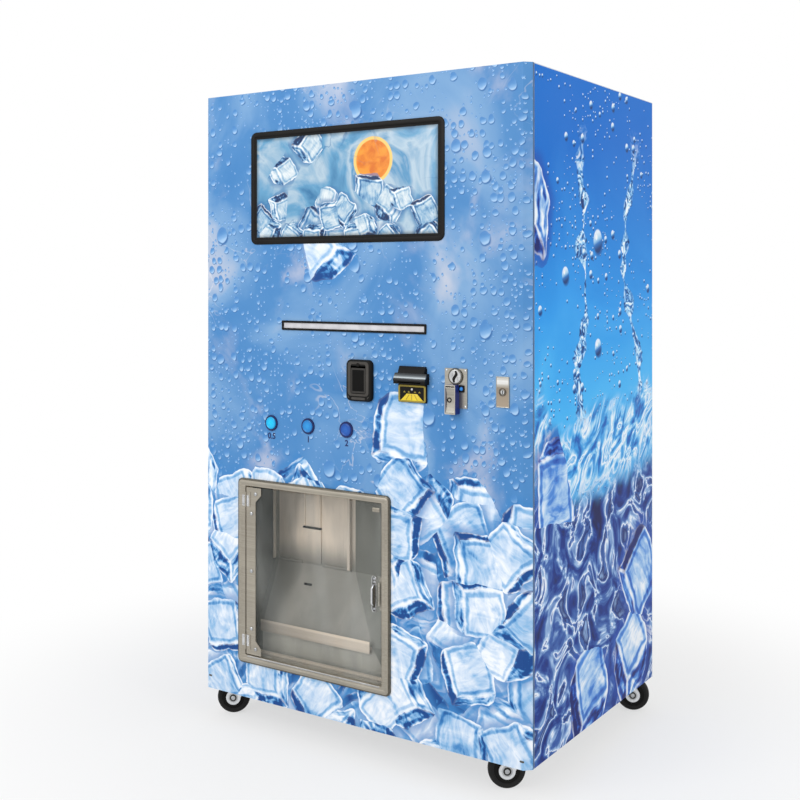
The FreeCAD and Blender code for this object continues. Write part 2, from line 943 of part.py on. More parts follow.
def coin_return_cup():
    body = block(cup_x, (cup_front, front), cup_z)
    pocket = block(pocket_x, pocket_y, pocket_z)
    pin_x = grown(pocket_x, cup_side_wall / 2 + running_clearance)
    pin_holes = rod_x(flap_pin_radius + running_clearance, pin_x, flap_axis_y, flap_axis_z)
    return without(body, pocket, pin_holes)


def coin_return_flap():
    flap_x = grown(pocket_x, -flap_gap)
    flap_z = grown(pocket_z, -flap_gap)
    flap = block(flap_x, span(flap_axis_y, flap_thickness), (flap_z[0], flap_axis_z))
    pin = rod_x(flap_pin_radius, grown(pocket_x, cup_side_wall / 2), flap_axis_y, flap_axis_z)
    return joined(flap, pin)


def lock_plate():
    plate_x = span(lock_x, lock_plate_width)
    plate = block(plate_x, (lock_front, front), span(lock_z, lock_plate_height))
    housing = rod_y(lock_housing_radius, lock_x, (front, door_back), lock_z)
    bore = rod_y(lock_plug_radius + running_clearance, lock_x, (lock_front, door_back), lock_z)
    return joined(plate, housing).cut(bore)


def lock_cylinder():
    plug = rod_y(lock_plug_radius, lock_x, (lock_front - lock_plug_proud, cam_y[1]), lock_z)
    cam = block(span(lock_x, cam_width), cam_y, (lock_z - cam_length, lock_z))
    return joined(plug, cam)


# Product buttons

def button_bezel(x):
    rim = rod_y(button_bore + button_rim, x, (front - button_rim_proud, front), button_z)
    barrel = rod_y(barrel_radius, x, (front, front + button_barrel_depth), button_z)
    bore_y = (front - button_rim_proud, front + button_barrel_depth - button_barrel_wall)
    return joined(rim, barrel).cut(rod_y(button_bore, x, bore_y, button_z))


def button_cap(x):
    face = front - button_proud
    return rod_y(button_radius, x, (face, face + button_length), button_z)


# Pick-up hatch

def hatch_frame(fixed_hinges):
    plate = rounded_plate(hatch_x, (hatch_front, front), hatch_z, hatch_corner)
    plate = plate.makeChamfer(hatch_chamfer, edges_at_y(plate, hatch_front))
    sleeve = block(sleeve_x, (front, door_back), sleeve_z)
    opening = block(opening_x, (hatch_front, door_back), opening_z)
    catch_y = (glass_y[1] + catch_gap, glass_y[1] + catch_gap + catch_thickness)
    catch = block((opening_x[1] - catch_width, opening_x[1]), catch_y, span(middle(glass_z), catch_height))
    return joined(joined(plate, sleeve).cut(opening), catch, *fixed_hinges)


def hatch_glass():
    return block(glass_x, glass_y, glass_z)


def hatch_stile(moving_hinges):
    edge = glass_x[0]
    narrow = edge + stile_width
    wide = edge + stile_end_width
    slope = stile_end_width - stile_width
    low, high = glass_z
    y = glass_y[0]
    outline = [
        point(edge, y, low),
        point(wide, y, low),
        point(wide, y, low + stile_end_height - slope),
        point(narrow, y, low + stile_end_height),
        point(narrow, y, high - stile_end_height),
        point(wide, y, high - stile_end_height + slope),
        point(wide, y, high),
        point(edge, y, high),
    ]
    strip = prism(outline, point(0, -stile_sheet, 0))
    screw_y = (hatch_front - screw_head_height, hatch_front)
    screws = [rod_y(screw_head_radius, edge + screw_side_inset, screw_y, middle(glass_z))]
    for inset, side in ((screw_end_inset, screw_end_side_inset), (screw_inset, screw_side_inset)):
        for z in (low + inset, high - inset):
            screws.append(rod_y(screw_head_radius, edge + side, screw_y, z))
    return joined(strip, *screws, *moving_hinges)


def hatch_handle():
    seat = glass_y[0]
    grip_front = seat - handle_reach
    grip_y = (grip_front, grip_front + handle_grip_thickness)
    ends = [handle_z[0] + handle_pad_radius, handle_z[1] - handle_pad_radius]
    grip = block(span(handle_x, handle_grip_width), grip_y, grown(tuple(ends), handle_grip_width / 2))
    pieces = [grip]
    for z in ends:
        pieces.append(rod_y(handle_pad_radius, handle_x, (seat - handle_pad, seat), z))
        pieces.append(rod_y(handle_grip_width / 2, handle_x, (grip_y[0], seat), z))
    return joined(*pieces)


# Pick-up compartment

def dispensing_liner():
    shell_y = (body_front, liner_back + liner_sheet)
    shell = block(grown(liner_x, liner_sheet), shell_y, grown(liner_z, liner_sheet))
    inside = block(liner_x, (body_front, liner_back), liner_z)
    behind_slide = block(liner_x, (liner_back, shell_y[1]), (liner_z[0], slide_top - liner_sheet))
    inlet = block(chute_x, grown(chute_y, -chute_wall), (liner_z[1], liner_top))
    drop = 2 * liner_sheet
    profile = [
        point(liner_x[0], liner_back, slide_top),
        point(liner_x[0], slide_front, slide_bottom),
        point(liner_x[0], slide_front, liner_z[0]),
        point(liner_x[0], slide_front + liner_sheet, liner_z[0]),
        point(liner_x[0], slide_front + liner_sheet, slide_bottom - drop / 2),
        point(liner_x[0], liner_back, slide_top - drop),
    ]
    slide = prism(profile, point(liner_x[1] - liner_x[0], 0, 0))
    feet = []
    for x in (liner_x[0] + liner_foot_inset, liner_x[1] - liner_foot_inset):
        foot_z = (floor_top, liner_z[0] - liner_sheet)
        feet.append(block(span(x, sheet), (frame_front, liner_back), foot_z))
    return joined(without(shell, inside, behind_slide, inlet), slide, *feet)


def bag_rail():
    depth = (slide_front - rail_depth, slide_front)
    bar = block(bag_rail_x, depth, bag_rail_z)
    hollow_z = grown(bag_rail_z, -rail_sheet)
    hollow = block(bag_rail_x, (depth[0] + rail_sheet, depth[1]), (hollow_z[0], bag_rail_z[1]))
    seat = block(bag_rail_x, (depth[1] - rail_sheet, depth[1]), (bag_rail_z[0], slide_bottom))
    return joined(bar.cut(hollow), seat)


# Ice path

def ice_chute():
    low = liner_top
    foot_back = chute_y[1]
    throat = auger_height - trough_radius
    high = auger_height + trough_radius
    outer_x = grown(chute_x, chute_wall)
    outer = [
        point(outer_x[0], chute_y[0], low),
        point(outer_x[0], foot_back, low),
        point(outer_x[0], bin_front, throat),
        point(outer_x[0], bin_front, high),
        point(outer_x[0], chute_y[0], high),
    ]
    inner = [
        point(chute_x[0], chute_y[0] + chute_wall, low),
        point(chute_x[0], foot_back - chute_wall, low),
        point(chute_x[0], foot_back - chute_wall, low + chute_flap_rise + chute_pin_inset),
        point(chute_x[0], bin_front, throat + 2 * chute_wall),
        point(chute_x[0], bin_front, high - chute_wall),
        point(chute_x[0], chute_y[0] + chute_wall, high - chute_wall),
    ]
    duct = prism(outer, point(outer_x[1] - outer_x[0], 0, 0))
    hollow = prism(inner, point(chute_width, 0, 0))
    pin_hole = rod_x(chute_pin_radius + running_clearance, outer_x, chute_axis_y, chute_axis_z)
    return without(duct, hollow, pin_hole)


def chute_flap():
    plate_x = grown(chute_x, -chute_flap_gap)
    plate_y = (chute_y[0] + chute_wall + chute_flap_gap, chute_axis_y)
    plate = block(plate_x, plate_y, span(chute_axis_z, chute_flap_thickness))
    pin = rod_x(chute_pin_radius, grown(chute_x, chute_wall), chute_axis_y, chute_axis_z)
    return joined(plate, pin)


def bin_outline(inset, y, rim):
    radius = trough_radius - inset
    low_x, high_x = grown(bin_x, -inset)
    return [
        point(low_x, y, rim),
        point(high_x, y, rim),
        point(high_x, y, bin_shoulder + inset),
        point(auger_x + radius, y, auger_height + inset),
        point(auger_x - radius, y, auger_height + inset),
        point(low_x, y, bin_shoulder + inset),
    ]


def ice_bin():
    depth = (bin_front, bin_rear)
    inner_depth = grown(depth, -bin_wall)
    outside = joined(
        prism(bin_outline(0, depth[0], bin_top), point(0, depth[1] - depth[0], 0)),
        rod_y(trough_radius, auger_x, depth, auger_height),
    )
    inside = joined(
        prism(bin_outline(bin_wall, inner_depth[0], bin_top), point(0, inner_depth[1] - inner_depth[0], 0)),
        rod_y(trough_radius - bin_wall, auger_x, inner_depth, auger_height),
    )
    outlet = rod_y(outlet_radius, auger_x, (depth[0], inner_depth[0]), auger_height)
    shaft_radius = auger_shaft_radius + shaft_seal_gap
    shaft_hole = rod_y(shaft_radius, auger_x, (inner_depth[1], depth[1]), auger_height)
    brackets = []
    bracket_y = span(middle(depth), bin_bracket_depth)
    for panel, wall, inward in ((inner_left, bin_x[0], 1), (inner_right, bin_x[1], -1)):
        shelf = block(between(panel, wall), bracket_y, (bin_top - bin_bracket_sheet, bin_top))
        plate_x = between(panel, panel + inward * bin_bracket_sheet)
        plate = block(plate_x, bracket_y, (bin_top - bin_bracket_height, bin_top))
        brackets.append(joined(shelf, plate))
    return joined(without(outside, inside, outlet, shaft_hole), *brackets)


def auger():
    shaft_y = (bin_front - auger_nose, bin_rear + gearbox_depth / 2)
    pieces = [rod_y(auger_shaft_radius, auger_x, shaft_y, auger_height)]
    usable = bin_rear - bin_front - 2 * auger_end_gap
    count = int(usable // auger_pitch) + 1
    for number in range(count):
        y = bin_front + auger_end_gap + number * auger_pitch
        flight = rod_y(auger_flight_radius, auger_x, span(y, auger_flight_thickness), auger_height)
        flight.rotate(point(auger_x, y, auger_height), point(1, 0, 0), auger_flight_tilt)
        pieces.append(flight)
    return joined(*pieces)


def auger_gearmotor():
    box_y = (bin_rear, bin_rear + gearbox_depth)
    gearbox = block(span(auger_x, gearbox_width), box_y, span(auger_height, gearbox_height))
    motor = rod_y(gear_motor_radius, auger_x, (box_y[1], box_y[1] + gear_motor_length), auger_height)
    bore_y = (box_y[0], middle(box_y) + running_clearance)
    bore = rod_y(auger_shaft_radius + running_clearance, auger_x, bore_y, auger_height)
    return joined(gearbox, motor).cut(bore)


# Ice maker

def water_trough():
    bar_z = (bin_top, bin_top + tray_bar_size)
    tray = block(evaporator_x, tray_y, tray_z)
    hollow_z = (tray_z[0] + tray_wall, tray_z[1])
    hollow = block(grown(evaporator_x, -tray_wall), grown(tray_y, -tray_wall), hollow_z)
    bars = []
    for side in (-1, 1):
        bar_y = span(middle(tray_y) + side * tray_bar_spacing / 2, tray_bar_size)
        bars.append(block(bin_x, bar_y, bar_z))
    return joined(tray.cut(hollow), *bars)


def evaporator():
    ends = []
    for x in (evaporator_x[0], evaporator_x[1] - evaporator_plate):
        ends.append(block((x, x + evaporator_plate), evaporator_y, evaporator_z))
    plate_z = (evaporator_z[0] + evaporator_lift, evaporator_z[1])
    plates = []
    first = middle(evaporator_y) - (evaporator_plates - 1) * evaporator_spacing / 2
    for number in range(evaporator_plates):
        plate_y = span(first + number * evaporator_spacing, evaporator_plate)
        plates.append(block(evaporator_x, plate_y, plate_z))
    return joined(*ends, *plates)


def water_pump():
    x = evaporator_x[1] + pump_radius
    body = rod_z(pump_radius, x, middle(tray_y), (tray_z[0], tray_z[0] + pump_height))
    seat_x = (evaporator_x[1], x)
    seat = block(seat_x, span(middle(tray_y), pump_radius), tray_z)
    return joined(body, seat)


# Refrigeration

def compressor():
    plate_low = floor_top + grommet_height
    plate_z = (plate_low, plate_low + compressor_base_thickness)
    base_x = span(compressor_x, compressor_base_length)
    base_y = span(compressor_y, compressor_base_width)
    base = block(base_x, base_y, plate_z)
    body = rod_z(compressor_radius, compressor_x, compressor_y, (plate_z[1], compressor_top))
    rim = [edge for edge in body.Edges if abs(edge.BoundBox.ZMin - compressor_top) < 1e-4]
    body = body.makeFillet(compressor_crown, rim)
    grommets = []
    for x in grown(base_x, -grommet_radius):
        for y in grown(base_y, -grommet_radius):
            grommets.append(rod_z(grommet_radius, x, y, (floor_top, plate_low)))
    return joined(base, body, *grommets)


def condenser():
    width = span(condenser_x, condenser_width)
    core = block(width, condenser_y, condenser_z)
    pitch = condenser_width / (condenser_fins + 1)
    slots = []
    for number in range(condenser_fins):
        slot_x = span(width[0] + (number + 1) * pitch, condenser_fin_gap)
        slot_y = (condenser_y[1] - condenser_fin_depth, condenser_y[1])
        slots.append(block(slot_x, slot_y, condenser_z))
    return without(core, *slots)


def fan_shroud():
    width = span(condenser_x, condenser_width)
    inner_x = grown(width, -shroud_wall)
    inner_z = grown(condenser_z, -shroud_wall)
    case = block(width, shroud_y, condenser_z)
    hollow = block(inner_x, (shroud_y[0] + shroud_wall, shroud_y[1]), inner_z)
    hole_y = (shroud_y[0], shroud_y[0] + shroud_wall)
    hole = rod_y(shroud_hole_radius, condenser_x, hole_y, fan_z)
    bar_y = (fan_motor_y[1] - fan_motor_bar_thickness, fan_motor_y[1])
    bar = block(width, bar_y, span(fan_z, fan_motor_bar))
    motor = rod_y(fan_motor_radius, condenser_x, fan_motor_y, fan_z)
    shaft = rod_y(fan_shaft_radius, condenser_x, (fan_hub_y[0], fan_motor_y[0]), fan_z)
    return joined(without(case, hollow, hole), bar, motor, shaft)


def condenser_fan():
    hub_middle = middle(fan_hub_y)
    pieces = [rod_y(fan_hub_radius, condenser_x, fan_hub_y, fan_z)]
    centre = point(condenser_x, hub_middle, fan_z)
    for number in range(fan_blades):
        blade_x = (condenser_x + fan_hub_radius / 2, condenser_x + fan_blade_radius)
        blade = block(blade_x, span(hub_middle, fan_blade_thickness), span(fan_z, fan_blade_width))
        blade.rotate(centre, point(1, 0, 0), fan_blade_tilt)
        blade.rotate(centre, point(0, 1, 0), number * 360 / fan_blades)
        pieces.append(blade)
    bore = rod_y(fan_shaft_radius + running_clearance, condenser_x, fan_hub_y, fan_z)
    return joined(*pieces).cut(bore)


def pipe(stops):
    pieces = []
    for start, end in zip(stops, stops[1:]):
        pieces.append(rod(line_radius, start, end))
    for corner in stops[1:-1]:
        pieces.append(Part.makeSphere(line_radius, corner))
    return joined(*pieces)


def refrigerant_lines():
    line_high = evaporator_z[1] - evaporator_lift
    suction = pipe([
        point(compressor_x, compressor_y, compressor_top),
        point(compressor_x, compressor_y, line_low),
        point(compressor_x, line_rear_y, line_low),
        point(compressor_x, line_rear_y, line_high),
        point(compressor_x, evaporator_y[1] - 2 * line_radius, line_high),
        point(evaporator_x[1], evaporator_y[1] - 2 * line_radius, line_high),
    ])
    mid_high = middle(evaporator_z)
    liquid = pipe([
        point(discharge_line_x, middle(condenser_y), condenser_z[1]),
        point(discharge_line_x, middle(condenser_y), mid_high),
        point(discharge_line_x, middle(evaporator_y), mid_high),
        point(evaporator_x[1], middle(evaporator_y), mid_high),
    ])
    return group([suction, liquid])


# Controls and connections

def control_box():
    box_z = (floor_top, floor_top + control_box_height)
    return block(span(control_box_x, control_box_width), span(control_box_y, control_box_depth), box_z)


def water_inlet_valve():
    wall = rear - sheet
    body = block(span(valve_x, valve_body), (wall - valve_body, wall), span(valve_z, valve_body))
    stub = rod_y(inlet_radius, valve_x, (wall, rear + connection_reach), valve_z)
    bore_y = (rear + connection_reach - inlet_bore_depth, rear + connection_reach)
    return joined(body, stub).cut(rod_y(inlet_bore, valve_x, bore_y, valve_z))


def drain_pipe():
    wall = rear - sheet
    pipe_y = (rear + connection_reach - drain_length, rear + connection_reach)
    spout = rod_y(drain_radius, drain_x, pipe_y, drain_z)
    collar = rod_y(drain_flange_radius, drain_x, (wall - drain_flange, wall), drain_z)
    return joined(spout, collar).cut(rod_y(drain_bore, drain_x, pipe_y, drain_z))


def mains_inlet():
    flange_x = span(mains_x, mains_flange_width)
    flange = block(flange_x, (rear, rear + mains_flange), span(mains_z, mains_flange_height))
    body_y = (rear - mains_body_depth, rear)
    body = block(span(mains_x, mains_body_width), body_y, span(mains_z, mains_body_height))
    recess_y = (rear + mains_flange - mains_recess_depth, rear + mains_flange)
    recess = block(span(mains_x, mains_recess_width), recess_y, span(mains_z, mains_recess_height))
    return joined(flange, body).cut(recess)


def build():
    cabinet_leaves, door_leaves = door_hinges()
    fixed_hatch_hinges, moving_hatch_hinges = hatch_hinges()
    nodes = {
        "base_frame": base_frame(),
        "floor_pan": floor_pan(),
        "left_side_panel": side_panel(left, 1),
        "right_side_panel": side_panel(right, -1),
        "top_panel": top_panel(),
        "rear_panel": rear_panel(),
        "cabinet_hinge_leaves": cabinet_leaves,
        "dispensing_liner": dispensing_liner(),
        "ice_chute": ice_chute(),
        "bag_rail": bag_rail(),
        "ice_bin": ice_bin(),
        "auger_gearmotor": auger_gearmotor(),
        "evaporator": evaporator(),
        "water_trough": water_trough(),
        "water_pump": water_pump(),
        "compressor": compressor(),
        "condenser": condenser(),
        "fan_shroud": fan_shroud(),
        "control_box": control_box(),
        "refrigerant_lines": refrigerant_lines(),
        "water_inlet_valve": water_inlet_valve(),
        "drain_pipe": drain_pipe(),
        "mains_inlet": mains_inlet(),
        "caster_plates": group([caster_plate(x, y) for x, y, _ in casters.values()]),
        "condenser_fan": condenser_fan(),
        "auger": auger(),
        "chute_flap": chute_flap(),
        "door_skin": door_skin(),
        "door_stiffeners": group([stiffener(x) for x in stiffener_xs]),
        "door_hinge_leaves": door_leaves,
        "display_bezel": display_bezel(),
        "display_module": display_module(),
        "light_bar_frame": light_bar_frame(),
        "light_bar_diffuser": light_bar_diffuser(),
        "card_reader": card_reader(),
        "bill_hood": bill_hood(),
        "bill_validator": bill_validator(),
        "coin_plate": coin_plate(),
        "coin_mechanism": coin_mechanism(),
        "coin_return_cup": coin_return_cup(),
        "coin_return_flap": coin_return_flap(),
        "coin_reject_button": coin_reject_button(),
        "lock_plate": lock_plate(),
        "lock_cylinder": lock_cylinder(),
        "button_bezels": group([button_bezel(x) for x in button_xs]),
        "hatch_frame": hatch_frame(fixed_hatch_hinges),
        "hatch_glass": hatch_glass(),
        "hatch_stile": hatch_stile(moving_hatch_hinges),
        "hatch_handle": hatch_handle(),
    }
    for name, x in zip(("button_small", "button_medium", "button_large"), button_xs):
        nodes[name] = button_cap(x)
    for name, (x, y, heading) in casters.items():
        nodes["caster_fork_" + name] = caster_fork(x, y, heading)
        nodes["caster_wheel_" + name] = caster_wheel(x, y, heading)
    return nodes


os.makedirs("parts", exist_ok=True)
for node, shape in build().items():
    shape.exportStep("parts/" + node + ".step")
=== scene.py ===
import json
import math

import bmesh
import bpy
from mathutils import Matrix, Vector


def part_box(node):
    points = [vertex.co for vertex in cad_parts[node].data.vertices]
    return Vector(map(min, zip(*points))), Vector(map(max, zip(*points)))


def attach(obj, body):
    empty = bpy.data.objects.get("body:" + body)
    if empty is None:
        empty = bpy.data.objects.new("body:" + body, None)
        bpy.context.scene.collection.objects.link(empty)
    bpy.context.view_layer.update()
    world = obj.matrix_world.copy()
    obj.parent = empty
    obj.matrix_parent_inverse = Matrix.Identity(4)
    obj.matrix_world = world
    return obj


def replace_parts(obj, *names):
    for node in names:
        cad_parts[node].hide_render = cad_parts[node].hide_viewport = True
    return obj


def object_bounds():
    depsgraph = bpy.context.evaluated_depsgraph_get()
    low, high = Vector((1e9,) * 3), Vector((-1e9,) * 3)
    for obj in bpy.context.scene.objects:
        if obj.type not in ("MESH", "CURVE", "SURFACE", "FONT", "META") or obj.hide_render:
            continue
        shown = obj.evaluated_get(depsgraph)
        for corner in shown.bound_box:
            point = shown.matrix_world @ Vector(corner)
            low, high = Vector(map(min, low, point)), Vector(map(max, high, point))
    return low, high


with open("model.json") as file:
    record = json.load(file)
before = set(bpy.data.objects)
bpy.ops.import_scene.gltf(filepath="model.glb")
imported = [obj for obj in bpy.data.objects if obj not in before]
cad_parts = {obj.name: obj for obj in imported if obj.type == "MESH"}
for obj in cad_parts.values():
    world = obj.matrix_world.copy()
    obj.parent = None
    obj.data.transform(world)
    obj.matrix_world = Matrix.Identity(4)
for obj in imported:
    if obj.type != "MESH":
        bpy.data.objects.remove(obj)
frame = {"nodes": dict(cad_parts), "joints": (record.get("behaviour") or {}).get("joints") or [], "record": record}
cad_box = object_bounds()
nodes = frame["nodes"]

# Camera: where the photograph was taken from, in metres, degrees and pixels of its 800 pixel frame
camera_place = Vector((1.8809, -3.0187, 1.3415))
camera_turn = 33.564
image_size = 800
focal_pixels = 1147.2
horizon_row = 277.6
sensor_width = 36.0

# Studio: sizes in metres, strengths for a level at which a colour renders about as written
floor_half = 14.0
floor_colour = (0.86, 0.86, 0.86, 1.0)
floor_near = 0.7
floor_far = 1.9
floor_white = 0.6
sky_light = 0.62
key_size = 3.2
key_place = Vector((-1.1, -4.6, 3.4))
key_power = 121.0
side_size = 2.6
side_place = Vector((4.6, -0.6, 2.6))
side_power = 60.0

# Bands of the prints, in metres above the floor
ice_top = 0.75
ice_fade = 0.13
foam_height = 0.86
foam_depth = 0.15

# Sizes and places of the CAD pieces that the new pieces fit, in metres, the casters' corners and the
# number of louvre rows
door_print_depth = 0.0185
screen_border = 0.015
screen_corner = 0.020
bar_border = 0.006
bar_corner = 0.003
reader_corner = 0.0145
bill_panel_height = 0.050
bill_panel_thickness = 0.007
bill_panel_inset = 0.006
bill_brow = 0.006
bill_lip = 0.011
coin_plate_thickness = 0.003
coin_entry_radius = 0.021
coin_entry_drop = 0.021
flap_thickness = 0.002
flap_pin_radius = 0.0015
flap_side_gap = 0.0031
button_gap = 0.0003
button_rim = 0.0042
hatch_face = -0.428
hatch_corner = 0.0145
hatch_gap = 0.004
hatch_hinge_inset = 0.040
hinge_leaf = 0.0012
hatch_axis_x = -0.388
liner_wall = -0.290
liner_floor = 0.218
liner_side = -0.389
slide_knee = 0.479
slide_foot_y = -0.368
slide_foot_z = 0.300
wheel_half = 0.015
wheel_bore = 0.0062
fork_half = 0.0205
wheel_corners = ("front_left", "front_right", "rear_left", "rear_right")
condenser_x = 0.300
louvre_rows = 12
louvre_width = 0.110
louvre_height = 0.008
louvre_pitch = 0.026
louvre_column_gap = 0.150
inlet_radius = 0.0132
drain_radius = 0.016

# Sizes and places that only the new pieces have, in metres, and the rows of rear screws
gasket_width = 0.006
reader_skin = 0.0003
bill_step_drop = 0.0185
bill_strip_drop = 0.0024
funnel_wide = 0.0360
funnel_narrow = 0.0165
number_drop = 0.028
number_height = 0.024
channel_x = -0.244
channel_half = 0.034
channel_drop = 0.108
wall_left = -0.371
wall_right = -0.100
shade_right = -0.084
slide_slot_drop = 0.054
stile_screws = ((-0.366, 0.4715), (-0.366, 0.301), (-0.366, 0.642), (-0.350, 0.242), (-0.350, 0.701))
jig_slots = ((-0.537, 0.128), (0.528, 0.1115))
rear_screw_rows = 7

# Meshes: metres in a millimetre, least corner radius in metres, last radius of a turned piece in
# millimetres, and the angle in degrees from which an edge is drawn sharp
mm = 0.001
least_corner = 0.0004
tip = 0.2
sharp_angle = 35.0


# Node materials

def linear(code):
    """Linear colour of a six digit sRGB code."""
    parts = [int(code[i:i + 2], 16) / 255 for i in (1, 3, 5)]
    return tuple(p / 12.92 if p < 0.04045 else ((p + 0.055) / 1.055) ** 2.4 for p in parts) + (1.0,)


class Look:
    """A procedural material, with its shader and the place and facing of each point."""

    def __init__(self, name, **values):
        self.material = bpy.data.materials.new(name)
        self.material.use_nodes = True
        self.tree = self.material.node_tree
        self.shader = self.tree.nodes["Principled BSDF"]
        for socket, value in values.items():
            self.shader.inputs[socket.replace("_", " ").title().replace("Ior", "IOR")].default_value = value
        where = self.add("ShaderNodeTexCoord")
        self.place = Wire(self, where.outputs["Object"])
        self.facing = Wire(self, where.outputs["Normal"])

    def add(self, kind, values=(), **settings):
        node = self.tree.nodes.new(kind)
        for name, setting in settings.items():
            setattr(node, name, setting)
        for socket, value in dict(values).items():
            self.feed(node.inputs[socket], value)
        return node

    def wire(self, kind, values, output=0, **settings):
        return Wire(self, self.add(kind, values, **settings).outputs[output])

    def feed(self, socket, value):
        if isinstance(value, Wire):
            self.tree.links.new(value.socket, socket)
        else:
            socket.default_value = linear(value) if isinstance(value, str) else value

    def math(self, operation, *values):
        if not any(value.vector if isinstance(value, Wire) else isinstance(value, tuple) for value in values):
            return self.wire("ShaderNodeMath", enumerate(values), operation=operation)
        output = "Value" if operation in ("DOT_PRODUCT", "LENGTH") else "Vector"
        return self.wire("ShaderNodeVectorMath", enumerate(values), output, operation=operation)

    def join(self, x, y, z=0.0):
        return self.wire("ShaderNodeCombineXYZ", {0: x, 1: y, 2: z})

    def lines(self, x, y, z, detail=4.0, distortion=0.0):
        """Noise with its own number of waves in a metre along each axis."""
        return (self.place * (x, y, z)).noise(1.0, detail, distortion)

    def grain(self, height, strength, distance=0.0005):
        values = {"Height": height, "Strength": strength, "Distance": distance}
        self.feed(self.shader.inputs["Normal"], self.wire("ShaderNodeBump", values))

    def finish(self, colour, roughness, lit=False):
        self.feed(self.shader.inputs["Base Color"], colour)
        self.feed(self.shader.inputs["Roughness"], roughness)
        if lit:
            self.feed(self.shader.inputs["Emission Color"], colour)
        return self.material


class Wire:
    """What a shader node gives. Python's signs and these methods add the node that takes it up."""

    def __init__(self, look, socket):
        self.look = look
        self.socket = socket
        self.vector = socket.type in ("VECTOR", "RGBA")

    def math(self, operation, *others):
        return self.look.math(operation, self, *others)

    def __add__(self, other):
        return self.math("ADD", other)

    def __sub__(self, other):
        return self.math("SUBTRACT", other)

    def __rsub__(self, other):
        return self.look.math("SUBTRACT", other, self)

    def __mul__(self, other):
        return self.math("MULTIPLY", other)

    def __truediv__(self, other):
        return self.math("DIVIDE", other)

    def __lt__(self, other):
        return self.math("LESS_THAN", other)

    def __gt__(self, other):
        return self.math("GREATER_THAN", other)

    def __abs__(self):
        return self.math("LENGTH" if self.vector else "ABSOLUTE")

    def split(self):
        return [Wire(self.look, part) for part in self.look.add("ShaderNodeSeparateXYZ", {0: self}).outputs]

    def noise(self, scale, detail=3.0, distortion=0.0, output="Fac"):
        values = {"Vector": self, "Scale": scale, "Detail": detail, "Distortion": distortion}
        return self.look.wire("ShaderNodeTexNoise", values, output)

    def warped(self, scale, detail, amount):
        return self + self.noise(scale, detail, 0.0, "Color") * (amount, amount, 0.0)

    def rotated(self, angle):
        values = {"Vector": self, "Angle": angle}
        return self.look.wire("ShaderNodeVectorRotate", values, rotation_type="Z_AXIS")

    def cells(self, scale, randomness):
        """Each cell's point, and three chances that belong to the cell."""
        values = {"Vector": self, "Scale": scale, "Randomness": randomness}
        node = self.look.add("ShaderNodeTexVoronoi", values, voronoi_dimensions="2D")
        return Wire(self.look, node.outputs["Position"]), Wire(self.look, node.outputs["Color"]).split()

    def span(self, low, high, start=0.0, end=1.0):
        """A smooth change from start to end while the value goes from low to high."""
        values = {"Value": self, "From Min": low, "From Max": high, "To Min": start, "To Max": end}
        return self.look.wire("ShaderNodeMapRange", values, interpolation_type="SMOOTHSTEP")

    def ramp(self, *stops):
        node = self.look.add("ShaderNodeValToRGB", {0: self})
        steps = node.color_ramp.elements
        while len(steps) < len(stops):
            steps.new(0.5)
        for step, (position, code) in zip(steps, stops):
            step.position = position
            step.color = linear(code)
        return Wire(self.look, node.outputs[0])

    def tint(self, shade, code, low=0.35, high=0.65):
        return self.ramp((low, shade), (high, code))

    def mix(self, first, second):
        """The first colour where this is 0, the second where it is 1."""
        return self.look.wire("ShaderNodeMix", {0: self, 6: first, 7: second}, 2, data_type="RGBA")


def painted(name, code, shade, roughness=0.42):
    """Powder coat: fine orange peel, faint cloudy wear."""
    look = Look(name, specular_ior_level=0.4)
    cloud = look.place.noise(5.0, 4.0)
    look.grain(look.place.noise(900.0, 2.0), 0.12)
    return look.finish(cloud.tint(shade, code), cloud.span(0.2, 0.8, roughness - 0.07, roughness + 0.07))


def brushed(name, code, shade, along, roughness=0.32, metallic=1.0):
    """Brushed sheet steel with its grain along one axis, and faint smudges."""
    look = Look(name, metallic=metallic)
    stretch = [700.0, 700.0, 700.0]
    stretch["XYZ".index(along)] = 6.0
    lines = look.lines(*stretch)
    both = lines * 0.55 + look.place.noise(7.0, 3.0, 0.4) * 0.45
    look.grain(lines, 0.10, 0.0002)
    return look.finish(both.tint(shade, code), both.span(0.3, 0.7, roughness + 0.10, roughness - 0.06))


def plated(name, code, shade, roughness, spangle=240.0):
    """Plated metal: a fine crystalline mottle under a thin bright coat."""
    look = Look(name, metallic=1.0)
    mottle = look.place.noise(spangle, 2.0)
    both = mottle * 0.5 + look.place.noise(18.0) * 0.5
    look.grain(mottle, 0.05, 0.0002)
    return look.finish(both.tint(shade, code), both.span(0.3, 0.7, roughness + 0.06, roughness - 0.03))


def moulded(name, code, shade, roughness=0.45, grain=0.08, specular=0.5):
    """Moulded plastic: fine spark-eroded grain, slight unevenness of colour and gloss."""
    look = Look(name, specular_ior_level=specular)
    broad = look.place.noise(22.0)
    look.grain(look.place.noise(1600.0, 2.0), grain, 0.0003)
    colour = broad.tint(shade, code, 0.30, 0.70)
    return look.finish(colour, broad.span(0.25, 0.75, roughness - 0.06, roughness + 0.06))


def rubber(name):
    """Black tread rubber with dust in its pores."""
    look = Look(name, specular_ior_level=0.25)
    dust = look.place.noise(60.0, 5.0)
    look.grain(look.place.noise(1200.0, 2.0), 0.25)
    return look.finish(dust.tint("#131313", "#262523", 0.40, 0.80), dust.span(0.3, 0.8, 0.55, 0.8))


def clear_acrylic(name, code, pale, low, high):
    """Clear acrylic that lets light through, with faint wiped smears."""
    look = Look(name, specular_ior_level=0.4)
    smear = look.lines(9.0, 9.0, 3.0, 4.0, 0.8)
    look.feed(look.shader.inputs["Alpha"], smear.span(0.35, 0.8, low, high))
    return look.finish(smear.tint(code, pale, 0.3, 0.8), smear.span(0.3, 0.8, 0.06, 0.16))


# Prints

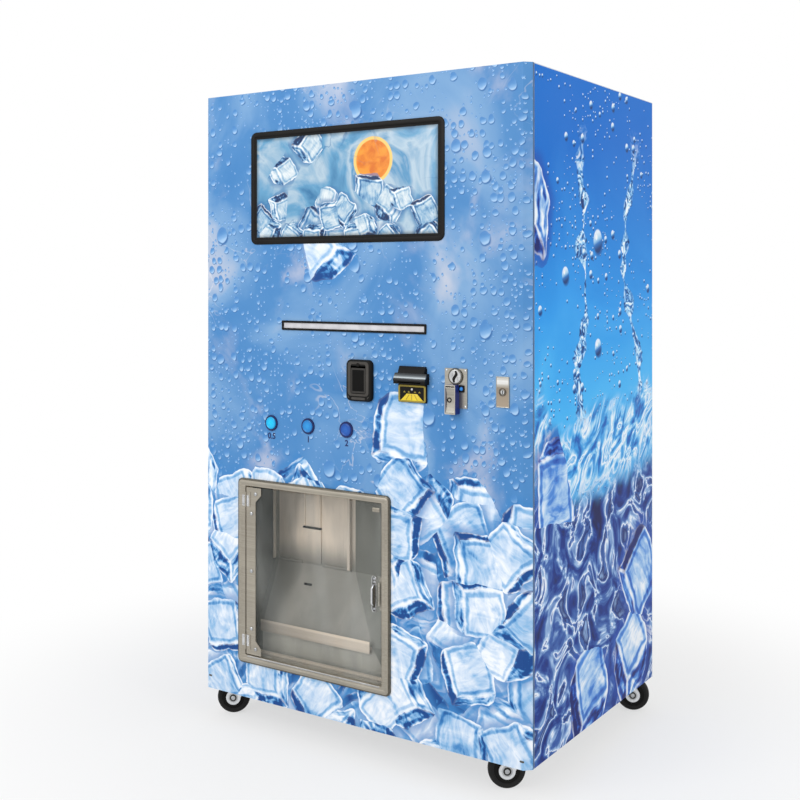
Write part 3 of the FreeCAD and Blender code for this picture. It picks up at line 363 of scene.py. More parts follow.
ice_tones = ((0.06, "#1D4A8C"), (0.22, "#3F84C4"), (0.40, "#8CBBE4"), (0.58, "#C9DDF3"), (0.80, "#F6FAFF"))
dark_tones = ((0.06, "#081A66"), (0.26, "#1C4CAC"), (0.46, "#4F8CDA"), (0.62, "#A8CCF0"), (0.82, "#F4F9FE"))
screen_tones = ((0.08, "#16315C"), (0.28, "#3C74A8"), (0.46, "#86AFCE"), (0.64, "#BFD2DE"), (0.86, "#E2E9EC"))
front_bead = ((0.05, "#5189C6"), (0.45, "#659BD3"), (0.80, "#8BB8E5"), (0.97, "#B0D2F2"))
side_bubble = ((0.05, "#F2FAFF"), (0.40, "#A5D6F5"), (0.62, "#2F79C4"), (0.92, "#0E346C"))


def beads(flat, colour, tone, dark, scale, share, sizes, glint=0.0, spread=0.0):
    """Water beads of one size range on a printed picture: shaded body, dark crescent below it, a glint."""
    middle, chance = flat.cells(scale, 0.9)
    crowd = middle.noise(2.6, 2.0)
    present = chance[0] < crowd.span(0.38, 0.62, share * (1 - spread), share * (1 + spread))
    radius = chance[1].span(0.0, 1.0, *sizes)
    near = (flat - middle) / flat.look.join(radius, radius, 1.0)
    inside = abs(near * (1.0, 0.86, 0.0)).span(1.0, 0.84) * present
    shadow = abs(near + (-0.12, 0.34, 0.0)).span(1.15, 0.80, 0.0, 0.9) * present
    body = near.math("DOT_PRODUCT", (0.32, -0.95, 0.0)).span(-1.05, 1.05).ramp(*tone)
    colour = (inside * 0.88).mix(shadow.mix(colour, dark), body)
    top = abs(near + (0.30, -0.36, 0.0)).span(0.34, 0.14, 0.0, glint)
    return (top * inside).mix(colour, "#FFFFFF")


def cubes(flat, colour, tones, scale, share, shift, size=0.94, most=1.0):
    """Ice on a printed picture: each pattern cell holds one clear block with three faces in view."""
    shifted = flat + (shift, 0.37 * shift, 0.0)
    bent = shifted.warped(2.4 * scale, 3.0, 0.20 / scale)
    middle, chance = bent.cells(scale, 0.80)
    spun = (bent - middle).rotated(chance[0] * (2 * math.pi)) * (scale / size, scale / size, 0.0)
    u, v = spun.split()[:2]
    depth = chance[1].span(0.0, 1.0, 0.12, 0.34)
    skew = abs(u - v)
    reach = abs(u).math("SMOOTH_MAX", abs(v), 0.10).math("SMOOTH_MAX", skew * 0.5 / (1.0 - depth), 0.10)
    height = middle.split()[1] - 0.37 * shift
    present = chance[2] < height.span(ice_top + ice_fade, ice_top - ice_fade, share, most)
    inside = reach.span(0.505, 0.490) * present
    past = u.math("MAXIMUM", v) - (0.5 - depth)
    front = past < 0.0
    narrow = (v > u) * 0.26 + 0.27
    streak = (spun * (2.2, 5.5, 0.0)).noise(1.0, 5.0, 1.8)
    cloud = shifted.noise(2.1 * scale, 6.0, 1.2)
    busy = 1.6 - front
    border = abs(past).math("MINIMUM", 0.5 - reach).math("MINIMUM", front * 9.0 + skew * 0.7)
    wall = abs(border - 0.070).span(0.045, 0.010)
    level = front * (0.64 - narrow) + narrow + (streak - 0.5) * busy
    level = level + (cloud - 0.5) * (busy + 0.4) + (chance[1] - 0.5) * 0.22 - wall * cloud * 0.46
    halo = reach.span(0.70, 0.50, 0.0, 0.7) * present
    colour = inside.mix(halo.mix(colour, tones[1][1]), level.ramp(*tones))
    lit = border.span(0.034, 0.010) * cloud.span(0.40, 0.58, 0.05, 0.85)
    return (lit * inside).mix(colour, "#F8FBFF")


def streaks(flat, colour, scale, width, strength, code):
    """Thin flowing lines, where a warped noise passes its middle value."""
    near = abs(flat.noise(scale, 4.0, 1.2) - 0.5)
    patches = flat.noise(0.45 * scale, 2.0).span(0.48, 0.62, 0.0, strength)
    return (near.span(width, width / 4) * patches).mix(colour, code)


def film(look, picture, outward, edge, beading):
    """Satin printed film on the outer face. Cut edges have their own shade, the inside is bare pale paint."""
    paint = look.place.noise(6.0).tint("#CDD2D8", "#DDE1E5")
    paint = (abs(outward) < 0.5).mix(paint, edge)
    look.grain(look.place.noise(40.0, 2.0), 0.04, 0.0004)
    return look.finish((outward > 0.3).mix(paint, picture), beading.span(0.2, 0.8, 0.38, 0.50))


def door_print(name):
    """Misty blue with water beads, above a bank of ice blocks."""
    look = Look(name, specular_ior_level=0.16)
    x, y, z = look.place.split()
    flat = look.join(x, z)
    drift = look.join(x * -1.0, z)
    haze = drift.noise(2.3, 5.0, 0.7)
    colour = haze.ramp((0.30, "#4482BF"), (0.46, "#528BC4"), (0.60, "#7FA8D2"), (0.74, "#C4CAD8"))
    colour = drift.noise(4.2, 6.0, 0.5).span(0.53, 0.72, 0.0, 0.62).mix(colour, "#D3D3DE")
    colour = streaks(flat, colour, 4.0, 0.008, 0.6, "#D6D8E2")
    wet = flat.warped(38.0, 1.0, 0.009)
    colour = beads(wet, colour, front_bead, "#3F76B2", 78.0, 0.30, (0.0018, 0.0042), 0.3, 0.4)
    colour = beads(wet, colour, front_bead, "#356BA8", 34.0, 0.50, (0.0055, 0.0115), 0.0, 0.5)
    colour = beads(wet, colour, front_bead, "#3267A4", 12.0, 0.16, (0.0130, 0.0230), 0.0, 0.5)
    water = flat.noise(15.0, 6.0, 1.8).ramp((0.34, "#2C68AE"), (0.44, "#5E9FD8"), (0.52, "#C6DFF5"),
                                            (0.57, "#FFFFFF"), (0.64, "#6FA9DC"), (0.74, "#DCEBFA"))
    colour = z.span(ice_top - 0.06, ice_top - 0.26, 0.0, 0.75).mix(colour, water)
    for scale, share, shift in ((4.9, 0.05, 0.31), (5.4, 0.03, 1.73), (6.1, 0.00, 4.10)):
        colour = cubes(flat, colour, ice_tones, scale, share, shift)
    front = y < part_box("door_skin")[0].y + door_print_depth
    outward = look.facing.math("DOT_PRODUCT", (0.0, -1.0, 0.0)) * front
    return film(look, colour, outward, "#4A6A92", haze)


def cabinet_print(name):
    """Clear blue water with bubbles and two falling streams, a splash, and dark ice below it."""
    look = Look(name, specular_ior_level=0.12)
    x, y, z = look.place.split()
    flat = look.join(y, z)
    flow = flat.noise(2.0, 5.0, 1.0)
    wave = (flow - 0.5) * 0.45 + z
    colour = wave.span(0.1, 1.9).ramp((0.03, "#244A9A"), (0.38, "#5EC0F6"), (0.52, "#46B4F4"),
                                      (0.70, "#2A9AEA"), (0.97, "#066ECC"))
    froth = flat.noise(26.0, 4.0, 2.2)
    water = froth.ramp((0.36, "#0C2F6C"), (0.45, "#2F7FCC"), (0.53, "#9CD3F5"), (0.62, "#F6FCFF"))
    fall = z.span(0.85, 1.0) * z.span(1.80, 1.60)
    for middle, number in ((-0.10, 3.0), (0.27, 11.0)):
        centre = (look.join(number, z * 1.7).noise(1.0) - 0.5) * 0.50 + middle
        girth = look.join(number, z * 6.5).noise(1.0, 2.0).span(0.40, 0.62, 0.004, 0.048)
        stream = (froth * 1.1 + abs(y - centre) / girth).span(1.45, 1.20)
        colour = (stream * fall).mix(colour, water)
    colour = beads(flat, colour, side_bubble, "#1B5CA6", 60.0, 0.20, (0.0018, 0.0048), 0.5, 0.9)
    colour = beads(flat, colour, side_bubble, "#1B5CA6", 19.0, 0.20, (0.0055, 0.0120), 0.6, 0.8)
    colour = beads(flat, colour, side_bubble, "#1B5CA6", 4.6, 0.04, (0.0200, 0.0340), 0.8)
    spray = (flat.rotated(-0.75) * (6.0, 13.0, 0.0)).noise(1.0, 5.0, 2.2)
    splash = spray.ramp((0.34, "#0E56B0"), (0.44, "#3E9FE4"), (0.51, "#A6D9F7"), (0.56, "#FDFEFF"),
                        (0.63, "#5AB1EA"), (0.72, "#EAF7FF"))
    band = abs(wave - foam_height).span(foam_depth, 0.4 * foam_depth)
    colour = (band * 0.95).mix(colour, splash)
    crystal = flat.noise(8.5, 9.0, 1.3).ramp(
        (0.32, "#04104E"), (0.42, "#0F3488"), (0.48, "#3E66AC"), (0.525, "#9DBEE6"), (0.545, "#F6FAFF"),
        (0.565, "#4A74BA"), (0.63, "#082068"), (0.74, "#8FB0DE"))
    colour = wave.span(foam_height - 0.10, foam_height - 0.16).mix(colour, crystal)
    colour = cubes(flat, colour, dark_tones, 3.1, 0.06, 2.41, 0.76, 0.62)
    return film(look, colour, look.facing.split()[0] * x.math("SIGN"), "#C3CCD6", flow)


def screen_picture(name):
    """A screen with moving-water colours, ice and an orange disc, painted shade along its edges under the bezel,
    in a dark metal case.
    """
    look = Look(name, specular_ior_level=0.35, emission_strength=0.03)
    low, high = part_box("display_module")
    middle = (low + high) / 2
    half = (high - low) / 2
    x, z = look.place.split()[::2]
    flat = look.join(x, z)
    flow = flat.noise(5.0, 6.0, 1.4)
    colour = flow.ramp((0.28, "#2C6C9C"), (0.42, "#629CC2"), (0.54, "#B3C8D6"), (0.64, "#4F8FBA"),
                       (0.78, "#D9E2E6"))
    away = abs(flat - (middle.x + 0.32 * half.x, middle.z + 0.40 * half.z, 0.0))
    colour = away.span(0.066, 0.063).mix(colour, flat.noise(40.0, 4.0, 0.6).tint("#D9701A", "#F0982E"))
    colour = abs(away - 0.061).span(0.006, 0.003).mix(colour, "#F3CB73")
    colour = streaks(flat, colour, 6.0, 0.02, 0.6, "#2F6FA6")
    lifted = flat + (0.0, ice_top - low.z - 0.12, 0.0)
    for scale, share, shift in ((10.0, 0.16, 0.9), (12.0, 0.10, 3.3)):
        colour = cubes(lifted, colour, screen_tones, scale, share, shift)
    # Painted shade: the picture darkens towards its edges, as if shaded by the bezel.
    edge = (half.x - abs(x - middle.x)).math("MINIMUM", half.z - abs(z - middle.z))
    colour = edge.span(0.022, 0.004, 0.0, 0.8).mix(colour, "#16222C")
    colour = (look.facing.split()[1] < -0.5).mix(flow.tint("#26282A", "#34373A"), colour)
    return look.finish(colour, flow.span(0.2, 0.8, 0.16, 0.24), True)


# Materials of one piece or a few

def light_strip(name):
    """Opal strip with a soft banding from the lamps behind it."""
    look = Look(name, specular_ior_level=0.3, emission_strength=0.04)
    bands = (look.place.split()[0] * (2 * math.pi / 0.033)).math("SINE")
    cloud = look.place.noise(30.0)
    colour = (bands * 0.04 + cloud).tint("#C6C5C9", "#D6D5D8")
    return look.finish(colour, cloud.span(0.3, 0.7, 0.35, 0.5), True)


def lit_cap(name, node, code, shade, pale):
    """Translucent push button cap, brighter in the middle where its lamp sits."""
    look = Look(name, specular_ior_level=0.3, emission_strength=0.05)
    low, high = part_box(node)
    offset = (look.place - tuple((low + high) / 2)) * (1.0, 0.0, 1.0)
    cloud = look.place.noise(150.0)
    level = cloud * 0.12 + abs(offset) * (1.0 / (high.x - low.x))
    colour = level.ramp((0.10, pale), (0.36, code), (0.58, shade))
    return look.finish(colour, cloud.span(0.3, 0.7, 0.25, 0.35), True)


def liner_steel(name):
    """Brushed liner sheet with painted light and shade: warm and bright on the back wall, grey on the slide,
    lighter at the slide's foot, shaded towards the side walls.
    """
    look = Look(name, metallic=0.35, specular_ior_level=0.3)
    x, z = look.place.split()[::2]
    lines = look.lines(500.0, 500.0, 5.0)
    smudge = look.lines(11.0, 11.0, 4.0, 5.0, 0.8)
    look.grain(lines, 0.08, 0.0002)
    level = smudge * 0.8 + lines * 0.2
    # Lit and shaded copies of one sheet: back wall, slide, slide foot, painted side shade and deep painted shade.
    shades = (("#B2A799", "#CDC1B2", "#E8D9C6"), ("#74726B", "#7F7D76", "#8B8880"),
              ("#8E8C84", "#9C9A91", "#AAA79D"), ("#5E5F58", "#6C6C65", "#7C7B74"),
              ("#1F221F", "#32332F", "#474742"))
    back, slide, foot, side_shade, dark = (level.ramp(*zip((0.36, 0.52, 0.66), codes)) for codes in shades)
    colour = z.span(slide_knee - 0.004, slide_knee + 0.09).mix(slide, back)
    # Painted light: the slide's foot, in shade under the rail, is painted lighter.
    colour = z.span(slide_foot_z, slide_foot_z - 0.03).mix(colour, foot)
    # Painted shade towards the left side wall, and towards the right side wall slanting down the slide.
    colour = x.span(wall_left - 0.001, wall_left - 0.004, 0.0, 0.9).mix(colour, side_shade)
    fall = (slide_knee - z).math("MAXIMUM", 0.0)
    colour = (x - fall * 0.64).span(shade_right - 0.004, shade_right).mix(colour, side_shade)
    # Deep painted shade high on the left side wall.
    colour = ((x < liner_side) * z.span(0.40, 0.62)).mix(colour, dark)
    return look.finish(colour, smudge.span(0.3, 0.7, 0.38, 0.52))


def rail_steel(name):
    """The bag rail's sheet with painted light: a painted highlight along its upper bend, painted shade along its
    lower edge, and lighter towards its right end.
    """
    look = Look(name, metallic=0.35, specular_ior_level=0.4)
    x, z = look.place.split()[::2]
    low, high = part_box("bag_rail")
    lines = look.lines(6.0, 500.0, 500.0)
    # Painted highlight along the upper bend, painted shade along the lower edge, and painted light growing to the
    # right.
    bend = z.span(high.z - 0.010, high.z - 0.004, 0.0, 0.25)
    foot = z.span(low.z + 0.010, low.z, 0.0, 0.15)
    level = lines * 0.25 + x.span(low.x, high.x, 0.0, 0.55) + bend - foot
    colour = level.ramp((0.08, "#8F867A"), (0.45, "#B7AB9C"), (0.95, "#EAD9C4"))
    return look.finish(colour, lines.span(0.3, 0.7, 0.34, 0.46))


def cup_plastic(name):
    """Blue moulding of the coin cup, with a bare steel front edge round the flap."""
    look = Look(name, specular_ior_level=0.35)
    broad = look.place.noise(22.0)
    blue = broad.tint("#17225E", "#22317C", 0.30, 0.70)
    steel = broad.tint("#A9A498", "#C2BDB1", 0.30, 0.70)
    return look.finish((look.facing.split()[1] < -0.5).mix(blue, steel), broad.span(0.25, 0.75, 0.30, 0.42))


def plate_steel(name):
    """The lock plate's brushed sheet with a painted reflection: a bright sheen at its head, warm and darker below.
    """
    look = Look(name, metallic=0.5)
    low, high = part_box("lock_plate")
    lines = look.lines(6.0, 700.0, 700.0)
    look.grain(lines, 0.10, 0.0002)
    # Painted reflection: warm and dark towards the foot, a bright sheen near the head.
    level = lines * 0.20 + look.place.split()[2].span(low.z, high.z, 0.0, 0.8)
    colour = level.ramp((0.10, "#A39482"), (0.66, "#8E8272"), (0.75, "#B9B5AC"), (0.86, "#E2E2E0"),
                        (0.91, "#B8B4AA"))
    return look.finish(colour, lines.span(0.3, 0.7, 0.36, 0.46))


def strip_sheen(name):
    """The bill hood's strip with painted light: a painted highlight along its middle, painted shade at its upper
    bend and turned-in lower edge.
    """
    look = Look(name, metallic=0.2, specular_ior_level=0.3)
    low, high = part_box("bill_hood")
    knee = low.z + bill_panel_height + bill_lip
    lines = look.lines(6.0, 600.0, 600.0, 3.0)
    # Painted highlight and shade down the strip, from its upper bend to its lower edge.
    fade = look.place.split()[2].span(high.z - bill_step_drop, knee - bill_strip_drop, 0.0, 0.75)
    colour = (lines * 0.25 + fade).ramp((0.12, "#2A2E31"), (0.40, "#6A7175"), (0.56, "#B6BFC3"),
                                        (0.66, "#7A8286"), (0.72, "#16181A"))
    return look.finish(colour, lines.span(0.3, 0.7, 0.34, 0.44))


# The record's slots, and after them finishes that only some pieces have
recipes = {
    "cabinet_print": (cabinet_print,),
    "door_print": (door_print,),
    "cabinet_paint": (painted, "#D9DDE1", "#CDD2D7"),
    "stainless": (brushed, "#B4B0A6", "#8E8B83", "X"),
    "bright_zinc": (plated, "#C9CBCD", "#A7A9AC", 0.30),
    "chrome": (plated, "#DADBDC", "#BDBEC0", 0.10, 90.0),
    "caster_tyre": (rubber,),
    "clear_sheet": (clear_acrylic, "#CBD3D0", "#E4E9E7", 0.03, 0.09),
    "black_gloss": (moulded, "#171411", "#0E0C0A", 0.42, 0.05, 0.14),
    "black_plastic": (moulded, "#141311", "#0C0C0C", 0.55, 0.08, 0.15),
    "screen": (screen_picture,),
    "diffuser": (light_strip,),
    "blue_plastic": (moulded, "#2A3C90", "#1C2B70", 0.36, 0.05, 0.35),
    "navy_plastic": (moulded, "#1A2560", "#121A48", 0.42, 0.05, 0.3),
    "cyan_button": (lit_cap, "button_small", "#16BCF0", "#1298CE", "#22C8F6"),
    "mid_blue_button": (lit_cap, "button_medium", "#2688D0", "#2070B6", "#3096DA"),
    "royal_blue_button": (lit_cap, "button_large", "#1F56AC", "#1A4796", "#2A62B6"),
    "reject_blue": (lit_cap, "coin_reject_button", "#2A86DC", "#1B57A8", "#5EB4F2"),
    "aluminium": (brushed, "#C6C8CB", "#A4A6A9", "Z", 0.38),
    "compressor_black": (painted, "#1C1C1E", "#121214", 0.35),
    "control_grey": (moulded, "#B7B9BC", "#A3A5A8", 0.5),
    "copper": (plated, "#C87F57", "#9A5A3A", 0.28, 120.0),
    "brass": (plated, "#C9A557", "#A07F3C", 0.30, 160.0),
    "liner_steel": (liner_steel,),
    "rail_steel": (rail_steel,),
    "cup_plastic": (cup_plastic,),
    "plate_steel": (plate_steel,),
    "hatch_steel": (brushed, "#ACA597", "#8F897E", "X", 0.40, 0.55),
    "fork_zinc": (plated, "#E6E8EA", "#D2D4D6", 0.36),
    "reader_trim": (moulded, "#4B4844", "#3B3835", 0.55, 0.06, 0.2),
    "reader_rim": (moulded, "#3D3B38", "#302E2C", 0.55, 0.06, 0.2),
    "reader_window": (moulded, "#131211", "#0B0B0B", 0.6, 0.05, 0.08),
    "bill_sheen": (strip_sheen,),
    "bill_yellow": (moulded, "#F0D63A", "#DDBE2C", 0.42, 0.05, 0.3),
    "bill_olive": (moulded, "#AA973E", "#8E7D33", 0.45, 0.05, 0.3),
    "entry_dark": (plated, "#76736C", "#54514B", 0.28, 160.0),
    "lock_dark": (plated, "#6E675C", "#4C463E", 0.3, 160.0),
    "hatch_edge": (plated, "#6F6A60", "#56524A", 0.34),
    "pull_shadow": (plated, "#5E5A52", "#45423C", 0.4),
    # A lighter copy of the liner steel: painted highlight on the back wall posts and the floor lip.
    "lit_wall_trim": (brushed, "#D0C4B4", "#B0A596", "Z", 0.36, 0.4),
    # Dark axle rings: painted shade for the recess round each caster bolt.
    "axle_recess_shade": (plated, "#4A4A48", "#343432", 0.4),
    "slot_shadow": (plated, "#6B665E", "#4E4A44", 0.5),
}
finishes = {name: maker(name, *values) for name, (maker, *values) in recipes.items()}
own_finish = {"dispensing_liner": "liner_steel", "bag_rail": "rail_steel", "coin_return_cup": "cup_plastic",
              "lock_plate": "plate_steel", "hatch_frame": "hatch_steel", "hatch_stile": "hatch_steel"}
for corner in wheel_corners:
    own_finish["caster_fork_" + corner] = "fork_zinc"
for part in frame["record"]["subparts"]:
    carried = nodes[part["node"]].data.materials
    carried.clear()
    carried.append(finishes[own_finish.get(part["node"], part["material_slot"])])


# Piece building. Places and pads are in metres. Steps, and the sizes that block and screws take, are in
# millimetres. A pad is a rounded rectangle, given as its limits in X, its limits in Z and its corner
# radius. A shell is a pair of points and faces.

def grown(limits, margin):
    return (limits[0] - margin, limits[1] + margin)


def around(middle, half):
    return (middle - half, middle + half)


def block(at, half_x, half_z, radius):
    """A pad around a point, from half its sides and its corner radius in millimetres."""
    return (around(at[0], half_x * mm), around(at[1], half_z * mm), radius * mm)


def spans(node):
    """A node's box as three (low, high) pairs."""
    low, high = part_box(node)
    return [(low[i], high[i]) for i in range(3)]


def middle_of(node):
    """The middle of a node's box, as a point in X and Z."""
    low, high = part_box(node)
    return ((low.x + high.x) / 2, (low.z + high.z) / 2)


def turns(count):
    return [2 * math.pi * step / count for step in range(count)]


def linked(name, data):
    """A new object in the scene."""
    thing = bpy.data.objects.new(name, data)
    bpy.context.scene.collection.objects.link(thing)
    return thing


def placed(name, mesh, slot, finish=None, body="door"):
    """A piece from a mesh in the row frame, with its material, riding on a body."""
    mesh.materials.clear()
    mesh.materials.append(finishes[finish or slot])
    piece = linked(name, mesh)
    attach(piece, body)
    return piece


def made(name, shells, slot, finish=None, body="door"):
    """A new piece from a list of shells."""
    points = []
    faces = []
    for shell_points, shell_faces in shells:
        faces += [tuple(i + len(points) for i in face) for face in shell_faces]
        points += shell_points
    mesh = bpy.data.meshes.new(name)
    mesh.from_pydata(points, [], faces)
    shape = bmesh.new()
    shape.from_mesh(mesh)
    bmesh.ops.remove_doubles(shape, verts=shape.verts, dist=1e-6)
    bmesh.ops.recalc_face_normals(shape, faces=shape.faces)
    shape.to_mesh(mesh)
    shape.free()
    mesh.shade_smooth()
    mesh.set_sharp_from_angle(angle=math.radians(sharp_angle))
    return placed(name, mesh, slot, finish, body)


def moved(shells, matrix):
    return [([tuple(matrix @ Vector(p)) for p in points], faces) for points, faces in shells]


def loft(rings, wrap=False):
    """Shell over rings of equal point count, capped unless the last ring joins the first."""
    count = len(rings[0])
    total = len(rings)
    faces = []
    for first in range(total if wrap else total - 1):
        second = (first + 1) % total
        for i in range(count):
            j = (i + 1) % count
            faces.append((first * count + i, first * count + j, second * count + j, second * count + i))
    if not wrap:
        faces.append(tuple(range(count)))
        faces.append(tuple(range((total - 1) * count, total * count)))
    return [p for ring in rings for p in ring], faces


def oblong(pad, inset, y, steps=6):
    """A pad's edge, drawn in by an inset, in a plane of constant Y."""
    (left, right), (low, high) = (grown(limits, -inset) for limits in pad[:2])
    radius = max(pad[2] - inset, least_corner)
    corners = ((right - radius, high - radius), (left + radius, high - radius),
               (left + radius, low + radius), (right - radius, low + radius))
    ring = []
    for quarter, (x, z) in enumerate(corners):
        for step in range(steps + 1):
            angle = math.radians(90 * (quarter + step / steps))
            ring.append((x + radius * math.cos(angle), y, z + radius * math.sin(angle)))
    return ring


def pressed(pad, face, steps, wrap=False):
    """Shell over a pad on a face of constant Y, one ring for each (out of the face, inset) step."""
    return loft([oblong(pad, inset * mm, face - out * mm) for out, inset in steps], wrap)


def bordered(outer, inner, face, back, front, soft):
    """Flat ring between two pads, from one step out of a face to another, with softened front edges."""
    levels = ((outer, 0, back), (outer, 0, front - soft), (outer, soft, front),
              (inner, -soft, front), (inner, 0, front - soft), (inner, 0, back))
    return loft([oblong(pad, inset * mm, face - out * mm) for pad, inset, out in levels], True)


def turned(at, face, steps, sides=40, wrap=False):
    """Shell turned about an axis along Y, one ring for each (radius, out of the face) step."""
    rings = []
    for radius, out in steps:
        circle = [(radius * mm * math.cos(a), radius * mm * math.sin(a)) for a in turns(sides)]
        rings.append([(at[0] + x, face - out * mm, at[1] + z) for x, z in circle])
    return loft(rings, wrap)


def sheet(at, face, outline, levels):
    """Flat plate with an outline of (right, up) steps from a point, between two levels out of a face."""
    return loft([[(at[0] + x * mm, face - out * mm, at[1] + z * mm) for x, z in outline] for out in levels])


def ridge(x, face, z, outline):
    """Bar along X with an outline of (out of the face, up) steps."""
    return loft([[(side, face - out * mm, z + up * mm) for out, up in outline] for side in x])


def taper(y, foot, head):
    """Four corners of a flat wedge, from its foot and its head as (x, half width, z)."""
    corners = []
    for (x, half, z), ways in ((foot, (-1, 1)), (head, (1, -1))):
        corners += [(x + way * half, y, z) for way in ways]
    return corners


def screws(places, face, radius, height=1.2):
    """Domed screw heads with sockets, on a face that looks to -Y."""
    steps = ((radius, 0), (radius, 0.3 * height), (0.86 * radius, 0.75 * height), (0.55 * radius, height),
             (0.40 * radius, height), (0.36 * radius, 0.35 * height))
    return [turned(at, face, steps, 20) for at in places]


door_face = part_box("door_skin")[0].y
rearward = Matrix.Rotation(math.pi, 4, "Z")


# Display and light bar

def screen_surround():
    """Moulded bezel with a rolled inner edge, and the dark gasket that shades the screen's rim."""
    x, (front, back), z = spans("display_bezel")
    pad = (x, z, screen_corner)
    deep = (front - back) / mm
    border = screen_border / mm
    hidden = border + gasket_width / mm
    rim = ((deep, 0), (-1.4, 0), (-0.4, 0.5), (0, 1.6), (0, border - 4), (-0.5, border - 1.6),
           (-1.6, border - 0.4), (deep, border))
    bezel = made("screen_surround", [pressed(pad, front, rim, True)], "black_gloss")
    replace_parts(bezel, "display_bezel")
    lip = ((0, border), (0.9, border), (0.3, hidden), (0, hidden))
    made("screen_gasket", [pressed(pad, back, lip, True)], "black_plastic")


def light_bar_surround():
    """Thin black frame round the opal strip."""
    x, (front, back), z = spans("light_bar_frame")
    deep = (front - back) / mm
    border = bar_border / mm
    rim = ((deep, 0), (-1, 0), (0, 1), (0, border - 1.4), (-1.2, border), (deep, border))
    surround = made("light_bar_surround", [pressed((x, z, bar_corner), front, rim, True)], "black_gloss")
    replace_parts(surround, "light_bar_frame")


# Card reader

def card_reader():
    """Black shell, grey band with a lens in it, framed window, lower lip and two corner ribs."""
    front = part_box("card_reader")[0].y
    x, z = (grown(limits, reader_skin) for limits in spans("card_reader")[::2])

    def set_in(sides, foot, head, radius):
        return (grown(x, -sides * mm), (z[0] + foot * mm, z[1] - head * mm), radius * mm)

    dome = (((front - door_face) / mm, 0), (-6, 0), (-2.6, 1.2), (-0.6, 4), (0, 6.8), (0, 20))
    made("card_reader_shell", [pressed((x, z, reader_corner), front, dome)], "black_plastic")
    band = bordered(set_in(7.8, 15, 5, 11), set_in(18, 21.5, 12.5, 5), front, -1, 1.2, 0.8)
    made("card_reader_band", [band], "black_plastic", "reader_trim")
    window = set_in(23.5, 28.5, 28, 1.2)
    rim = bordered(set_in(19.5, 23.2, 22.6, 2), window, front, -0.4, 0.6, 0.4)
    made("card_reader_window_rim", [rim], "black_plastic", "reader_rim")
    pane = pressed(window, front, ((0, 0), (0.3, 0), (0.5, 0.8), (0.5, 6)))
    made("card_reader_window", [pane], "black_gloss", "reader_window")
    lens = ((5.2, 0.8), (5.2, 1.8), (4.4, 2.1), (3.6, 1.6), (1.6, 2), (tip, 2.1))
    lens_at = (middle_of("card_reader")[0], z[1] - 0.0132)
    made("card_reader_lens", [turned(lens_at, front, lens, 28)], "black_gloss")
    lip_pad = (grown(x, -0.0200), (z[0] + 0.0048, z[0] + 0.0118), 0.0026)
    lip = pressed(lip_pad, front, ((-3, 0), (0.6, 0.3), (1.1, 1.2), (0.8, 2.6)))
    made("card_reader_lip", [lip], "black_plastic", "reader_trim")
    ribs = []
    for way, side in ((1, x[0]), (-1, x[1])):
        outline = ((7 * way, 15), (10 * way, 15), (13.5 * way, 8.5), (10.5 * way, 8.5))
        ribs.append(sheet((side, z[0]), front, outline, (-1, 0.7)))
    made("card_reader_corner_ribs", ribs, "black_plastic", "reader_trim")


# Bill unit

def bill_hood(x, front, z):
    """Stepped hood with a note slot, its panel, and a satin strip with a painted sheen. Steps count from the
    hood's knee.
    """
    split = z[0] + bill_panel_height
    knee = split + bill_lip
    deep = (front - door_face) / mm
    low = -bill_lip / mm
    top = (z[1] - knee) / mm
    brow = deep + bill_brow / mm
    step = top - bill_step_drop / mm
    step_out = -8.5
    slot_low = -8.0
    slot_high = -4.5
    lip = ((deep, slot_high), (0, slot_high), (0, 0), (step_out, step), (deep, step))
    chin = ((deep, low), (-2, low), (0, low + 1.5), (0, slot_low), (deep, slot_low))
    crown = ((deep, step - 1), (step_out - 0.4, step - 1), (step_out - 1, step + 1), (brow, top - 1),
             (brow - 1, top), (deep, top))
    cheek = ((deep, slot_low - 0.5), (-1, slot_low - 0.5), (-1, slot_high + 0.5), (deep, slot_high + 0.5))
    bars = ((x, lip), (x, chin), (grown(x, -0.0085), crown), ((x[0], x[0] + 0.0140), cheek),
            ((x[1] - 0.0140, x[1]), cheek))
    shells = [ridge(limits, front, knee, outline) for limits, outline in bars]
    panel_pad = (grown(x, -bill_panel_inset), (z[0], split + 0.0010), 0.0030)
    panel = ((-bill_panel_thickness / mm, 0), (-0.6, 0), (0, 0.6), (0, 4))
    shells.append(pressed(panel_pad, door_face - bill_panel_thickness, panel))
    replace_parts(made("bill_hood_shell", shells, "black_plastic"), "bill_hood")
    foot = -bill_strip_drop / mm
    strip = ((0.6, foot), (1, foot + 0.8), (0.7, 1), (step_out + 0.6, step - 1), (step_out - 0.2, step + 0.3),
             (step_out - 2, step + 0.3), (-2, foot))
    # The strip's finish paints a highlight along its middle and shade at its bends.
    made("bill_satin_strip", [ridge(grown(x, 0.0004), front, knee, strip)], "chrome", "bill_sheen")


